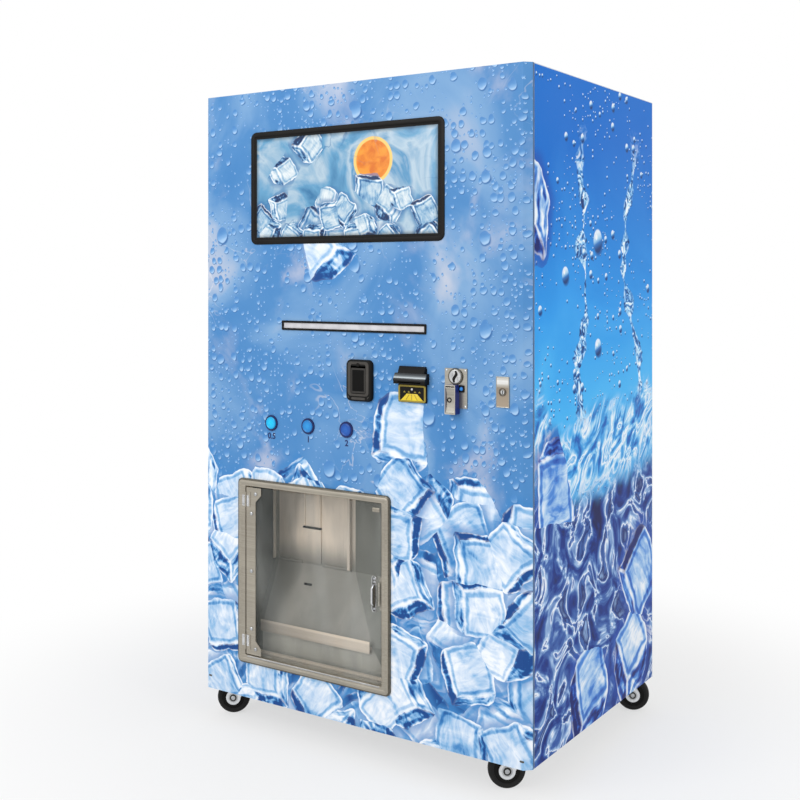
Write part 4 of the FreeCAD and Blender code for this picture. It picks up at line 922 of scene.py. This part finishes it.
def bill_guide(x, face, z):
    """Border and yellow funnel with ribs, marks and a lamp, on the bill panel."""
    plate = (grown(x, -bill_panel_inset - 0.0005), (z + 0.0008, z + bill_panel_height - 0.0030), 0.0060)
    hollow = (grown(plate[0], -0.0056), grown(plate[1], -0.0050), 0.0030)
    made("bill_panel_border", [bordered(plate, hollow, face, 0, 1.2, 0.5)], None, "bill_olive")
    middle = (x[0] + x[1]) / 2
    foot = z + 0.0048
    head = z + 0.0235
    funnel = []
    for out, inset in ((0, 0), (0.0008, 0), (0.0016, 0.0016)):
        funnel.append(taper(face - out, (middle, funnel_wide - 1.6 * inset, foot + inset),
                            (middle, funnel_narrow - 0.6 * inset, head - inset)))
    made("bill_guide", [loft(funnel)], None, "bill_yellow")
    ribs = []
    for share in (-0.5, 0.0, 0.5):
        rings = []
        for out, half in ((0.0016, 0.0010), (0.0024, 0.0004)):
            rings.append(taper(face - out, (middle + share * funnel_wide, half, foot + 0.0022),
                               (middle + share * funnel_narrow, half, head - 0.0022)))
        ribs.append(loft(rings))
    made("bill_guide_ribs", ribs, None, "bill_olive")
    arrow = ((-4, 3), (4, 3), (0, 7.5))
    arrows = [sheet((middle + px, head), face, arrow, (0, 0.8)) for px in (-0.0240, -0.0100, 0.0100, 0.0240)]
    made("bill_guide_arrows", arrows, None, "bill_olive")
    lens = ((3, 0), (3, 1), (2.2, 1.4), (tip, 1.2))
    made("bill_guide_lamp", [turned((middle, head + 0.0120), face, lens, 24)], "diffuser")


def bill_unit():
    x, y, z = spans("bill_hood")
    bill_hood(x, y[0], z)
    bill_guide(x, door_face - bill_panel_thickness, z[0])


# Coin unit

def coin_slot(steps=16):
    """Outline of the bent coin slot, in millimetres from its middle."""
    left = []
    right = []
    for step in range(steps + 1):
        share = step / steps
        bend = 3.4 * math.sin(2 * math.pi * share) - 3 * (share - 0.5)
        half = 2.6 + 1.6 * math.sin(math.pi * share) ** 2
        up = 15.5 - 31 * share
        left.append((bend - half, up))
        right.append((bend + half, up))
    return left + right[::-1]


def coin_unit():
    """Dished entry with a bent slot, dark ring, plate screws, and the reject button in its square collar."""
    x, (front, back), z = spans("coin_plate")
    face = back - coin_plate_thickness
    seat = (front - face) / mm
    entry = (middle_of("coin_plate")[0], z[1] - coin_entry_drop)
    radius = coin_entry_radius / mm
    ring = ((radius + 1.2, seat), (radius + 1.2, seat + 1.8), (radius + 0.2, 0.4), (radius - 2.2, 0.6),
            (radius - 3, -0.2))
    made("coin_entry_ring", [turned(entry, front, ring, 48, True)], "chrome", "entry_dark")
    dish = ((radius - 2.8, -0.6), (radius - 3.6, 1), (0.66 * radius, 1.6), (0.40 * radius, 0.4), (tip, 0.2))
    made("coin_entry_dish", [turned(entry, front, dish, 48)], "chrome")
    # The slot is a black sheet on the dish: painted shade standing for the dark opening.
    made("coin_entry_slot", [sheet(entry, front, coin_slot(), (0.2, 2))], "black_plastic")
    guides = []
    for way in (-1, 1):
        pad = block((entry[0] + way * 0.0100, entry[1] - way * 0.0060), 3, 6, 2.4)
        guides.append(pressed(pad, front, ((-0.6, 0), (1.8, 0.4), (2.6, 1.4))))
    made("coin_entry_guides", guides, "chrome")
    (left, right), (low, high) = (grown(limits, -0.0055) for limits in (x, z))
    made("coin_plate_screws", screws(((left, high), (right, high), (right, low)), face, 3), "chrome")
    node = "coin_reject_button"
    at = middle_of(node)
    collar = bordered(block(at, 9.4, 9.4, 2.6), block(at, 5.9, 5.9, 5.6), face, 0, 1.8, 0.3)
    made("coin_reject_collar", [collar], "black_plastic")
    front, back = spans(node)[1]
    cap = ((5.4, (front - back) / mm), (5.4, -1.2), (4.8, -0.4), (3, 0), (tip, 0))
    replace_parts(made("coin_reject_cap", [turned(at, front, cap, 28)], "reject_blue", None, node), node)


def coin_return(rows=14, sides=16):
    """Curved stainless flap with a finger hole, hung on its pin in the blue cup."""
    node = "coin_return_flap"
    x, y, z = spans(node)
    leaf_x = grown(spans("coin_return_cup")[0], -flap_side_gap)
    axis_y = (y[0] + y[1]) / 2
    half = flap_thickness / mm / 2
    pin = flap_pin_radius / mm
    pin_z = z[1] - flap_pin_radius
    rise = (pin_z - z[0]) / mm
    curve = [(3 * math.sin(math.pi * row / rows), rise * row / rows) for row in range(rows + 1)]
    leaf = [(half - hollow, up) for hollow, up in curve]
    leaf += [(-half - hollow, up) for hollow, up in curve[::-1]]
    barrel = [(pin * math.cos(a), pin * math.sin(a)) for a in turns(sides)]
    shells = [ridge(leaf_x, axis_y, z[0], leaf), ridge(x, axis_y, pin_z, barrel)]
    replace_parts(made("coin_flap_leaf", shells, "stainless", None, node), node)
    hole = (leaf_x[0] + 0.36 * (leaf_x[1] - leaf_x[0]), z[0] + 0.50 * (z[1] - z[0]))
    face = axis_y - flap_thickness / 2 + 0.0028
    dimple = ((6.8, -0.6), (6.8, 0.8), (6, 1.2), (5, 0.6), (3.6, -0.2), (tip, -0.4))
    # The finger hole is a black dimple: painted shade for the dark hole.
    made("coin_flap_dimple", [turned(hole, face, dimple, 28)], "black_plastic", None, node)


# Lock and product buttons

def door_lock():
    """Dark collar and stepped plug face with a keyway, and the plate's rolled edge."""
    x, z = spans("lock_plate")[::2]
    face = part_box("lock_plate")[0].y
    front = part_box("lock_cylinder")[0].y
    at = middle_of("lock_plate")
    collar = ((10.8, 0), (10.8, 0.8), (10, 1.4), (8.8, 1.2), (8.4, 0))
    made("lock_collar", [turned(at, face, collar, 36, True)], "chrome", "lock_dark")
    # The keyway is a black pad on the plug face: painted shade for the dark slot.
    key = pressed(block(at, 1.3, 4.8, 1), front, ((-0.3, 0), (0.3, 0.2), (0.4, 0.6)))
    made("lock_keyway", [key], "black_plastic", None, "lock")
    step = ((7.7, 0), (7.7, 0.3), (6, 0.6), (5.4, 0.2), (5.4, 0))
    made("lock_plug_face", [turned(at, front, step, 36, True)], "chrome", "lock_dark", "lock")
    edge = ((-1.2, -0.3), (0.2, 0), (0.6, 0.8), (0.4, 1.8), (-0.4, 2.2))
    made("lock_plate_edge", [pressed((x, z, 0.0020), face, edge, True)], "stainless")


def product_buttons():
    """Dished caps in rolled rims, one for each size of bag."""
    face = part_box("button_bezels")[0].y
    deep = (face - door_face) / mm
    rims = []
    for node, slot in (("button_small", "cyan_button"), ("button_medium", "mid_blue_button"),
                       ("button_large", "royal_blue_button")):
        (left, right), (front, back) = spans(node)[:2]
        at = middle_of(node)
        radius = (right - left) / 2 / mm
        shares = ((1, (front - back) / mm), (1, -3), (0.965, -1.4), (0.86, -0.4), (0.78, -0.7), (0.70, -1.6),
                  (0.45, -1.2), (0.20, -1), (tip / radius, -0.9))
        cap = [(share * radius, out) for share, out in shares]
        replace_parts(made(node + "_cap", [turned(at, front, cap, 48)], slot, None, node), node)
        bore = radius + button_gap / mm
        outer = bore + button_rim / mm
        rim = ((outer + 0.4, deep), (outer + 0.4, -2.2), (outer - 0.6, -0.6), (outer - 2, 0),
               (bore + 1, -0.2), (bore + 0.2, -1.2), (bore + 0.2, deep))
        rims.append(turned(at, face, rim, 48, True))
    made("button_rims", rims, "navy_plastic")


def button_number(node, text):
    """A plain printed number on the door, under its button."""
    data = bpy.data.curves.new(node + "_number", "FONT")
    data.body = text
    data.size = number_height
    data.align_x = "CENTER"
    data.extrude = 0.0002
    data.offset = 0.0006
    writing = linked(node + "_text", data)
    mesh = bpy.data.meshes.new_from_object(writing)
    bpy.data.objects.remove(writing)
    foot = Vector((middle_of(node)[0], door_face - 0.0001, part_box(node)[0].z - number_drop))
    mesh.transform(Matrix.Translation(foot) @ Matrix.Rotation(math.pi / 2, 4, "X"))
    placed(node + "_number", mesh, "navy_plastic")


# Pick-up hatch

def hatch_trim():
    """The stamped frame's rolled outer edge, its raised field, the inner hem and the bright sill."""
    x, z = spans("hatch_frame")[::2]
    pad = (x, z, hatch_corner)
    deep = (hatch_face - door_face) / mm
    rolled = ((deep, -1), (-2.2, -0.6), (-0.6, 1), (0.3, 3.4), (-0.4, 4.6), (deep, 4.6))
    made("hatch_rolled_edge", [pressed(pad, hatch_face, rolled, True)], "stainless", "hatch_edge")
    field = ((-0.6, 4.4), (0.8, 6.2), (1.4, 9.5), (1, 14), (-0.4, 16))
    made("hatch_swage", [pressed(pad, hatch_face, field, True)], "stainless", "hatch_steel")
    open_x, open_z = (grown(limits, hatch_gap) for limits in spans("hatch_glass")[::2])
    fold = ((-4, -1.8), (0.2, -2), (0.9, -1.2), (0.4, -0.3), (-1, -0.1), (-4, -0.1))
    hem = pressed((open_x, open_z, 0.0030), hatch_face, fold, True)
    made("hatch_hem", [hem], "stainless", "hatch_steel")
    sill = ((-1, 0), (1.2, 0), (1.9, 0.6), (1.9, 1.6))
    sill_pad = (grown(open_x, -0.0080), (open_z[0] - 0.0042, open_z[0] - 0.0008), 0.0014)
    made("hatch_sill", [pressed(sill_pad, hatch_face, sill)], "chrome")


def hatch_hinges():
    """Bright leaf covers with domed screws, one pair on each side of the two hinge barrels."""
    face = hatch_face - hinge_leaf
    low, high = grown(spans("hatch_glass")[2], -hatch_hinge_inset)
    leaf = ((0, 0), (0.7, 0.1), (1, 0.8), (1, 3))
    for end, z in (("lower", low), ("upper", high)):
        for way, body in ((-1, "door"), (1, "hatch")):
            shells = [pressed(block((hatch_axis_x + way * 0.0082, z), 4.8, 16.5, 1.6), face, leaf)]
            places = [(hatch_axis_x + way * 0.0084, z + step) for step in (-0.0105, 0.0105)]
            shells += screws(places, face - 0.0009, 3.6, 1.7)
            made("hatch_hinge_" + end + "_" + body, shells, "chrome", None, body)


def grip(x, front, seat, low, high, steps=24, sides=14):
    """Bowed pull bar: its ends land on the back plate and its middle stands off for the fingers."""
    foot = seat - 0.0015
    rings = []
    for step in range(steps + 1):
        share = step / steps
        bow = min(1.0, 6.0 * min(share, 1 - share)) ** 0.6
        y = foot - bow * (foot - front - 0.0030)
        z = low + share * (high - low)
        wide = 0.0036 - 0.0006 * bow
        rings.append([(x + wide * math.cos(a), y + 0.0028 * math.sin(a), z) for a in turns(sides)])
    return loft(rings)


def hatch_furniture():
    """Pull handle in its bright oblong rim, stile screws, keeper strip and top catch."""
    glass_x, glass_y, glass_z = spans("hatch_glass")
    seat = glass_y[0]
    right = glass_x[1]
    x, y, (low, high) = spans("hatch_handle")
    middle = middle_of("hatch_handle")[0]
    pad = (x, (low, high), (x[1] - x[0]) / 2 - 0.0001)
    rim = ((0, 0), (2.2, 0), (3.4, 0.8), (3.4, 1.8), (2.4, 2.6), (0.8, 2.8), (0, 2.8))
    shells = [pressed(pad, seat, rim, True), grip(middle, y[0], seat, low + 0.0170, high - 0.0230)]
    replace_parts(made("hatch_pull", shells, "chrome", None, "hatch"), "hatch_handle")
    pan = pressed(pad, seat, ((0, 2.4), (0.8, 2.6), (1, 3.4), (1, 6)))
    made("hatch_pull_pan", [pan], "stainless", "pull_shadow", "hatch")
    places = [(middle, z) for z in (low + 0.0090, high - 0.0090, high - 0.0178)]
    made("hatch_pull_screws", screws(places, seat - 0.0009, 3.8, 2.2), "bright_zinc", None, "hatch")
    strip_pad = ((right - 0.0080, right - 0.0030), (low + 0.0180, high - 0.0180), 0.0020)
    strip = pressed(strip_pad, seat, ((-0.1, 0), (0.6, 0.4), (0.8, 1.4)))
    made("hatch_keeper", [strip], "stainless", None, "hatch")
    heads = screws(stile_screws, hatch_face - 0.0012, 5.2, 2)
    made("hatch_stile_screws", heads, "bright_zinc", None, "hatch")
    z = glass_z[1] - 0.0164
    plate = ((0, 0), (1, 0.1), (1.4, 0.8), (1.4, 3))
    shells = [pressed(block((right - 0.0150, z), 12, 5.8, 2), seat, plate)]
    shells += screws([(right - 0.0200, z), (right - 0.0100, z)], seat - 0.0013, 3.6, 1.8)
    made("hatch_catch", shells, "stainless", "hatch_steel", "hatch")


# Pick-up compartment

def compartment():
    """Sheet-metal details on the liner's back wall, slide and floor, seen through the hatch."""
    glass_x, glass_y, glass_z = spans("hatch_glass")
    top = glass_z[1]
    channel = around(channel_x, channel_half)
    slot_z = slide_knee + channel_drop

    def wall_piece(name, pads, steps, finish="liner_steel", slot="stainless"):
        made(name, [pressed(pad, liner_wall, steps) for pad in pads], slot, finish, "cabinet")

    cover = (channel, (slide_knee + 0.006, slot_z), 0.0016)
    wall_piece("chute_channel_cover", [cover], ((0, 0), (3, 0), (4, 1), (4, 6)))
    guides = [(around(x, 0.0030), (slot_z + 0.006, top), 0.0010) for x in grown(channel, -0.004)]
    wall_piece("chute_channel_guides", guides, ((0, 0), (4.6, 0.8), (5.2, 2.4)))
    # The slot is a black strip: painted shade for the dark gap between the cover and the guides.
    gap = (channel, (slot_z, slot_z + 0.0055), 0.0010)
    wall_piece("chute_channel_slot", [gap], ((0, 0), (5.6, 0.2), (5.8, 1)), None, "black_plastic")
    left, right = grown(channel, 0.004)
    hem_z = (slide_knee - 0.001, slide_knee + 0.007)
    hems = [(x, hem_z, 0.0020) for x in ((wall_left, left), (right, wall_right))]
    wall_piece("back_wall_hems", hems, ((0, 0), (3.6, 0.4), (4.2, 1.6), (4.2, 3)))
    post_limits = ((glass_x[0] - 0.0050, glass_x[0] - 0.0005), (wall_right - 0.0100, wall_right + 0.0010))
    posts = [(x, (slide_knee + 0.002, top), 0.0016) for x in post_limits]
    # The posts take the lighter liner steel, a painted highlight.
    wall_piece("back_wall_posts", posts, ((0, 0), (10, 0.6), (11.2, 2), (11.2, 3.6)), "lit_wall_trim")
    slope = math.atan2(liner_wall - slide_foot_y, slide_knee - slide_foot_z)
    seat = Vector((channel_x, liner_wall - slide_slot_drop * math.tan(slope), slide_knee - slide_slot_drop))
    tilt = Matrix.Translation(seat) @ Matrix.Rotation(-slope, 4, "X")
    # The slide's slot is a black mark: painted shade for the dark opening.
    mark = pressed(block((0, 0), 15, 3.6, 3), 0, ((-0.6, 0), (0.8, 0.2), (1.2, 1)))
    made("slide_slot", moved([mark], tilt), "black_plastic", None, "cabinet")
    lip = ridge(grown(glass_x, 0.004), glass_y[1] + 0.030, liner_floor + 0.0010,
                ((0, 0), (-12, 0), (-12, 7), (-4, 9), (0, 7)))
    # The floor lip takes the same lighter steel, a painted highlight.
    made("floor_lip", [lip], "stainless", "lit_wall_trim", "cabinet")


# Casters

def caster_wheels():
    """Tread, moulded hub, and the axle washers and bolts of the four swivel casters. The dished washers are dark:
    painted shade of their recess.
    """
    half = wheel_half / mm
    up = Vector((0.0, 0.0, 1.0))
    mirror = Matrix.Diagonal((1.0, -1.0, 1.0, 1.0))

    def wheel_shell(steps):
        """Turned shell with the same steps on both sides of the wheel."""
        return [turned((0, 0), 0, steps + [(radius, -out) for radius, out in steps[::-1]], 56, True)]

    def axle_shells(steps, sides=32):
        """Turned shells on the outer faces of both fork legs."""
        shells = [turned((0, 0), -fork_half, steps, sides)]
        return shells + moved(shells, mirror)

    bolts = axle_shells(((14.5, -0.2), (14.5, 1), (13.2, 1.4), (10.4, 1.4), (10, 0.4)))
    bolts += axle_shells(((6.2, 2), (6.2, 3.6), (5, 4.2), (2.8, 4.2), (2.6, 3.4)), 6)
    rings = axle_shells(((10.8, 0.2), (10.8, 2.4), (9.8, 3.1), (6.2, 3.1), (5.8, 2.6)))
    for corner in wheel_corners:
        node = "caster_wheel_" + corner
        wheel = "wheel_" + corner
        caster = "caster_" + corner
        low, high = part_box(node)
        joint = [j for j in frame["joints"] if j["child"] == wheel][0]
        axle = Vector(joint["axis"]).normalized()
        turn = Matrix((axle.cross(up), axle, up)).transposed().to_4x4()
        place = Matrix.Translation((low + high) / 2) @ turn
        radius = (high.z - low.z) / 2 / mm
        shares = ((0.68, half - 5), (0.70, half - 1.6), (0.80, half - 0.4), (0.90, half - 1),
                  (0.965, half - 3.6), (0.992, half - 8), (1, 3), (0.988, 1.2))
        tread = wheel_shell([(share * radius, out) for share, out in shares])
        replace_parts(made(node + "_tyre", moved(tread, place), "caster_tyre", None, wheel), node)
        shares = ((0.69, half - 2.6), (0.62, half - 2), (0.52, half - 3.4), (0.34, half - 3.2),
                  (0.27, half - 1), (wheel_bore / mm / radius, half - 1))
        web = wheel_shell([(share * radius, out) for share, out in shares])
        made(node + "_hub", moved(web, place), "black_plastic", None, wheel)
        name = "caster_axle_" + corner
        made(name + "_bolts", moved(bolts, place), "bright_zinc", None, caster)
        # The rings' dark finish is painted shade for the recess round the bolt.
        made(name + "_rings", moved(rings, place), "bright_zinc", "axle_recess_shade", caster)


# Back and door edge

def rear_screws(places, face, radius, height=1.2):
    """Screw heads on a face that looks to +Y."""
    return moved(screws([(-x, z) for x, z in places], -face, radius, height), rearward)


def rear_details():
    """Pressed louvre hoods and panel screws on the back."""
    x, z = spans("rear_panel")[::2]
    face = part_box("rear_panel")[1].y
    height = louvre_height / mm
    hood = ((0, height + 6), (-5, height - 1), (-6.2, 1), (-5.4, 0.4), (-4, height - 2), (0, height + 4))
    low_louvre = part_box("condenser")[0].z + louvre_pitch - louvre_height / 2
    hoods = []
    for row in range(louvre_rows):
        for side in (-1, 1):
            limits = around(condenser_x + side * louvre_column_gap / 2, louvre_width / 2 + 0.004)
            hoods.append(ridge(limits, face, low_louvre + row * louvre_pitch, hood))
    made("rear_louvre_hoods", hoods, "cabinet_paint", None, "cabinet")
    (left, right), (low, high) = (grown(limits, -0.012) for limits in (x, z))
    places = []
    for row in range(rear_screw_rows):
        pz = z[0] + 0.020 + row * (z[1] - z[0] - 0.040) / (rear_screw_rows - 1)
        places += [(left, pz), (right, pz)]
    for px in (-0.30, 0.0, 0.30):
        places += [(px, low), (px, high)]
    made("rear_panel_screws", rear_screws(places, face, 5, 1.8), "bright_zinc", None, "cabinet")


def rear_connections(threads=9, barb_count=3):
    """Hose thread and nut, drain barbs, and the pins and screws of the mains inlet."""
    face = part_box("rear_panel")[1].y

    def fitting(name, node, steps, slot, sides=40):
        made(name, [turned(middle_of(node), face, steps, sides, True)], slot, None, "cabinet")

    node = "water_inlet_valve"
    length = (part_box(node)[1].y - face) / mm
    pitch = (length - 8) / threads
    radius = inlet_radius / mm
    thread = [(radius - 1, -5)]
    for step in range(threads):
        start = -6 - step * pitch
        for out, share in ((0.2, 0), (0.9, 0.45), (0.9, 0.6)):
            thread.append((radius + out, start - share * pitch))
    thread += [(radius + 0.1, 1 - length), (radius - 1, 0.5 - length)]
    fitting("water_inlet_thread", node, thread, "brass")
    nut = ((20, 0), (20, -4), (18.5, -5.2), (radius, -5.2), (radius, 0))
    fitting("water_inlet_nut", node, nut, "brass", 6)
    radius = drain_radius / mm
    barbs = []
    for step in range(barb_count):
        start = -4 - step * 6.5
        barbs += [(radius + 0.1, start), (radius + 1.2, start - 0.8), (radius + 0.1, start - 6)]
    barbs += [(radius - 1.2, barbs[-1][1]), (radius - 1.2, barbs[0][1])]
    fitting("drain_barbs", "drain_pipe", barbs, "control_grey")
    x, z = middle_of("mains_inlet")
    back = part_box("mains_inlet")[1].y
    pins = []
    for px, pz in ((-0.007, -0.002), (0.0, 0.002), (0.007, -0.002)):
        pins.append(pressed(block((x + px, z + pz), 1, 2, 0.6), back, ((18, 0), (5, 0), (4, 0.6))))
    made("mains_pins", pins, "chrome", None, "cabinet")
    ears = rear_screws([(x + 0.0225, z), (x - 0.0225, z)], back, 2.6)
    made("mains_screws", ears, "bright_zinc", None, "cabinet")


def door_edge_details():
    """Jig slots at the foot of the door's bend lines, and the seal between door and cabinet."""
    x, (front, back), z = spans("door_skin")
    dent = ((-0.4, 0), (0.2, 0.1), (0.3, 0.8))
    slots = [pressed(block(at, 6.2, 2.8, 2.6), front, dent) for at in jig_slots]
    made("door_jig_slots", slots, "stainless", "slot_shadow")
    seal = ((0, 8), (-1.4, 7.2), (-2.2, 9), (-2.2, 13), (-1.4, 14.8), (0, 14))
    made("door_seal", [pressed((x, z, 0.0060), back, seal, True)], "caster_tyre")


screen_surround()
light_bar_surround()
card_reader()
bill_unit()
coin_unit()
coin_return()
door_lock()
product_buttons()
button_number("button_small", "0.5")
button_number("button_medium", "1")
button_number("button_large", "2")
hatch_trim()
hatch_hinges()
hatch_furniture()
compartment()
caster_wheels()
rear_details()
rear_connections()
door_edge_details()


# Stage, light and camera

def seen_by_eye(tree):
    """1 on rays from the eye, reflected ones and those through clear sheet."""
    path = tree.nodes.new("ShaderNodeLightPath")
    seen = path.outputs["Is Camera Ray"]
    for ray in ("Is Glossy Ray", "Is Transmission Ray"):
        either = tree.nodes.new("ShaderNodeMath")
        either.operation = "MAXIMUM"
        tree.links.new(seen, either.inputs[0])
        tree.links.new(path.outputs[ray], either.inputs[1])
        seen = either.outputs[0]
    return seen


def stage():
    """A pale floor that keeps the shadows and fades to white away from the machine."""
    mesh = bpy.data.meshes.new("floor")
    corners = [(x * floor_half, y * floor_half, 0.0) for x, y in ((-1, -1), (1, -1), (1, 1), (-1, 1))]
    mesh.from_pydata(corners, [], [(0, 1, 2, 3)])
    look = Look("floor", roughness=0.9, base_color=floor_colour, specular_ior_level=0.1)
    tree = look.tree
    glow = look.add("ShaderNodeEmission", {"Strength": 1.0})
    white = abs(look.place).span(floor_near, floor_far, floor_white, 1.0)
    blend = look.add("ShaderNodeMixShader", {0: Wire(look, seen_by_eye(tree)) * white})
    tree.links.new(look.shader.outputs[0], blend.inputs[1])
    tree.links.new(glow.outputs[0], blend.inputs[2])
    tree.links.new(blend.outputs[0], tree.nodes["Material Output"].inputs[0])
    mesh.materials.append(look.material)
    linked("floor", mesh)


def sky():
    """White to the eye, in reflections and through clear sheet, and dimmer as a light."""
    world = bpy.data.worlds.new("studio")
    world.use_nodes = True
    bpy.context.scene.world = world
    tree = world.node_tree
    background = tree.nodes["Background"]
    background.inputs["Color"].default_value = (1.0, 1.0, 1.0, 1.0)
    level = tree.nodes.new("ShaderNodeMapRange")
    tree.links.new(seen_by_eye(tree), level.inputs["Value"])
    level.inputs["To Min"].default_value = sky_light
    level.inputs["To Max"].default_value = 1.0
    tree.links.new(level.outputs[0], background.inputs["Strength"])


def lamp(name, place, size, power):
    """A square area light that looks at the middle of the machine."""
    data = bpy.data.lights.new(name, "AREA")
    data.shape = "SQUARE"
    data.size = size
    data.energy = power
    light = linked(name, data)
    light.location = place
    aim = Vector((0.0, 0.0, (cad_box[1][2] - cad_box[0][2]) / 2)) - place
    light.rotation_euler = aim.to_track_quat("-Z", "Y").to_euler()


def camera():
    """The photograph's camera: level, with its horizon moved by the lens shift."""
    data = bpy.data.cameras.new("camera")
    data.sensor_width = sensor_width
    data.lens = focal_pixels * sensor_width / image_size
    data.shift_y = (horizon_row - image_size / 2) / image_size
    eye = linked("camera", data)
    eye.location = camera_place
    eye.rotation_euler = (math.pi / 2, 0.0, math.radians(camera_turn))
    bpy.context.scene.camera = eye


stage()
sky()
lamp("key_light", key_place, key_size, key_power)
lamp("side_light", side_place, side_size, side_power)
camera()
bpy.context.scene.view_settings.view_transform = "Standard"
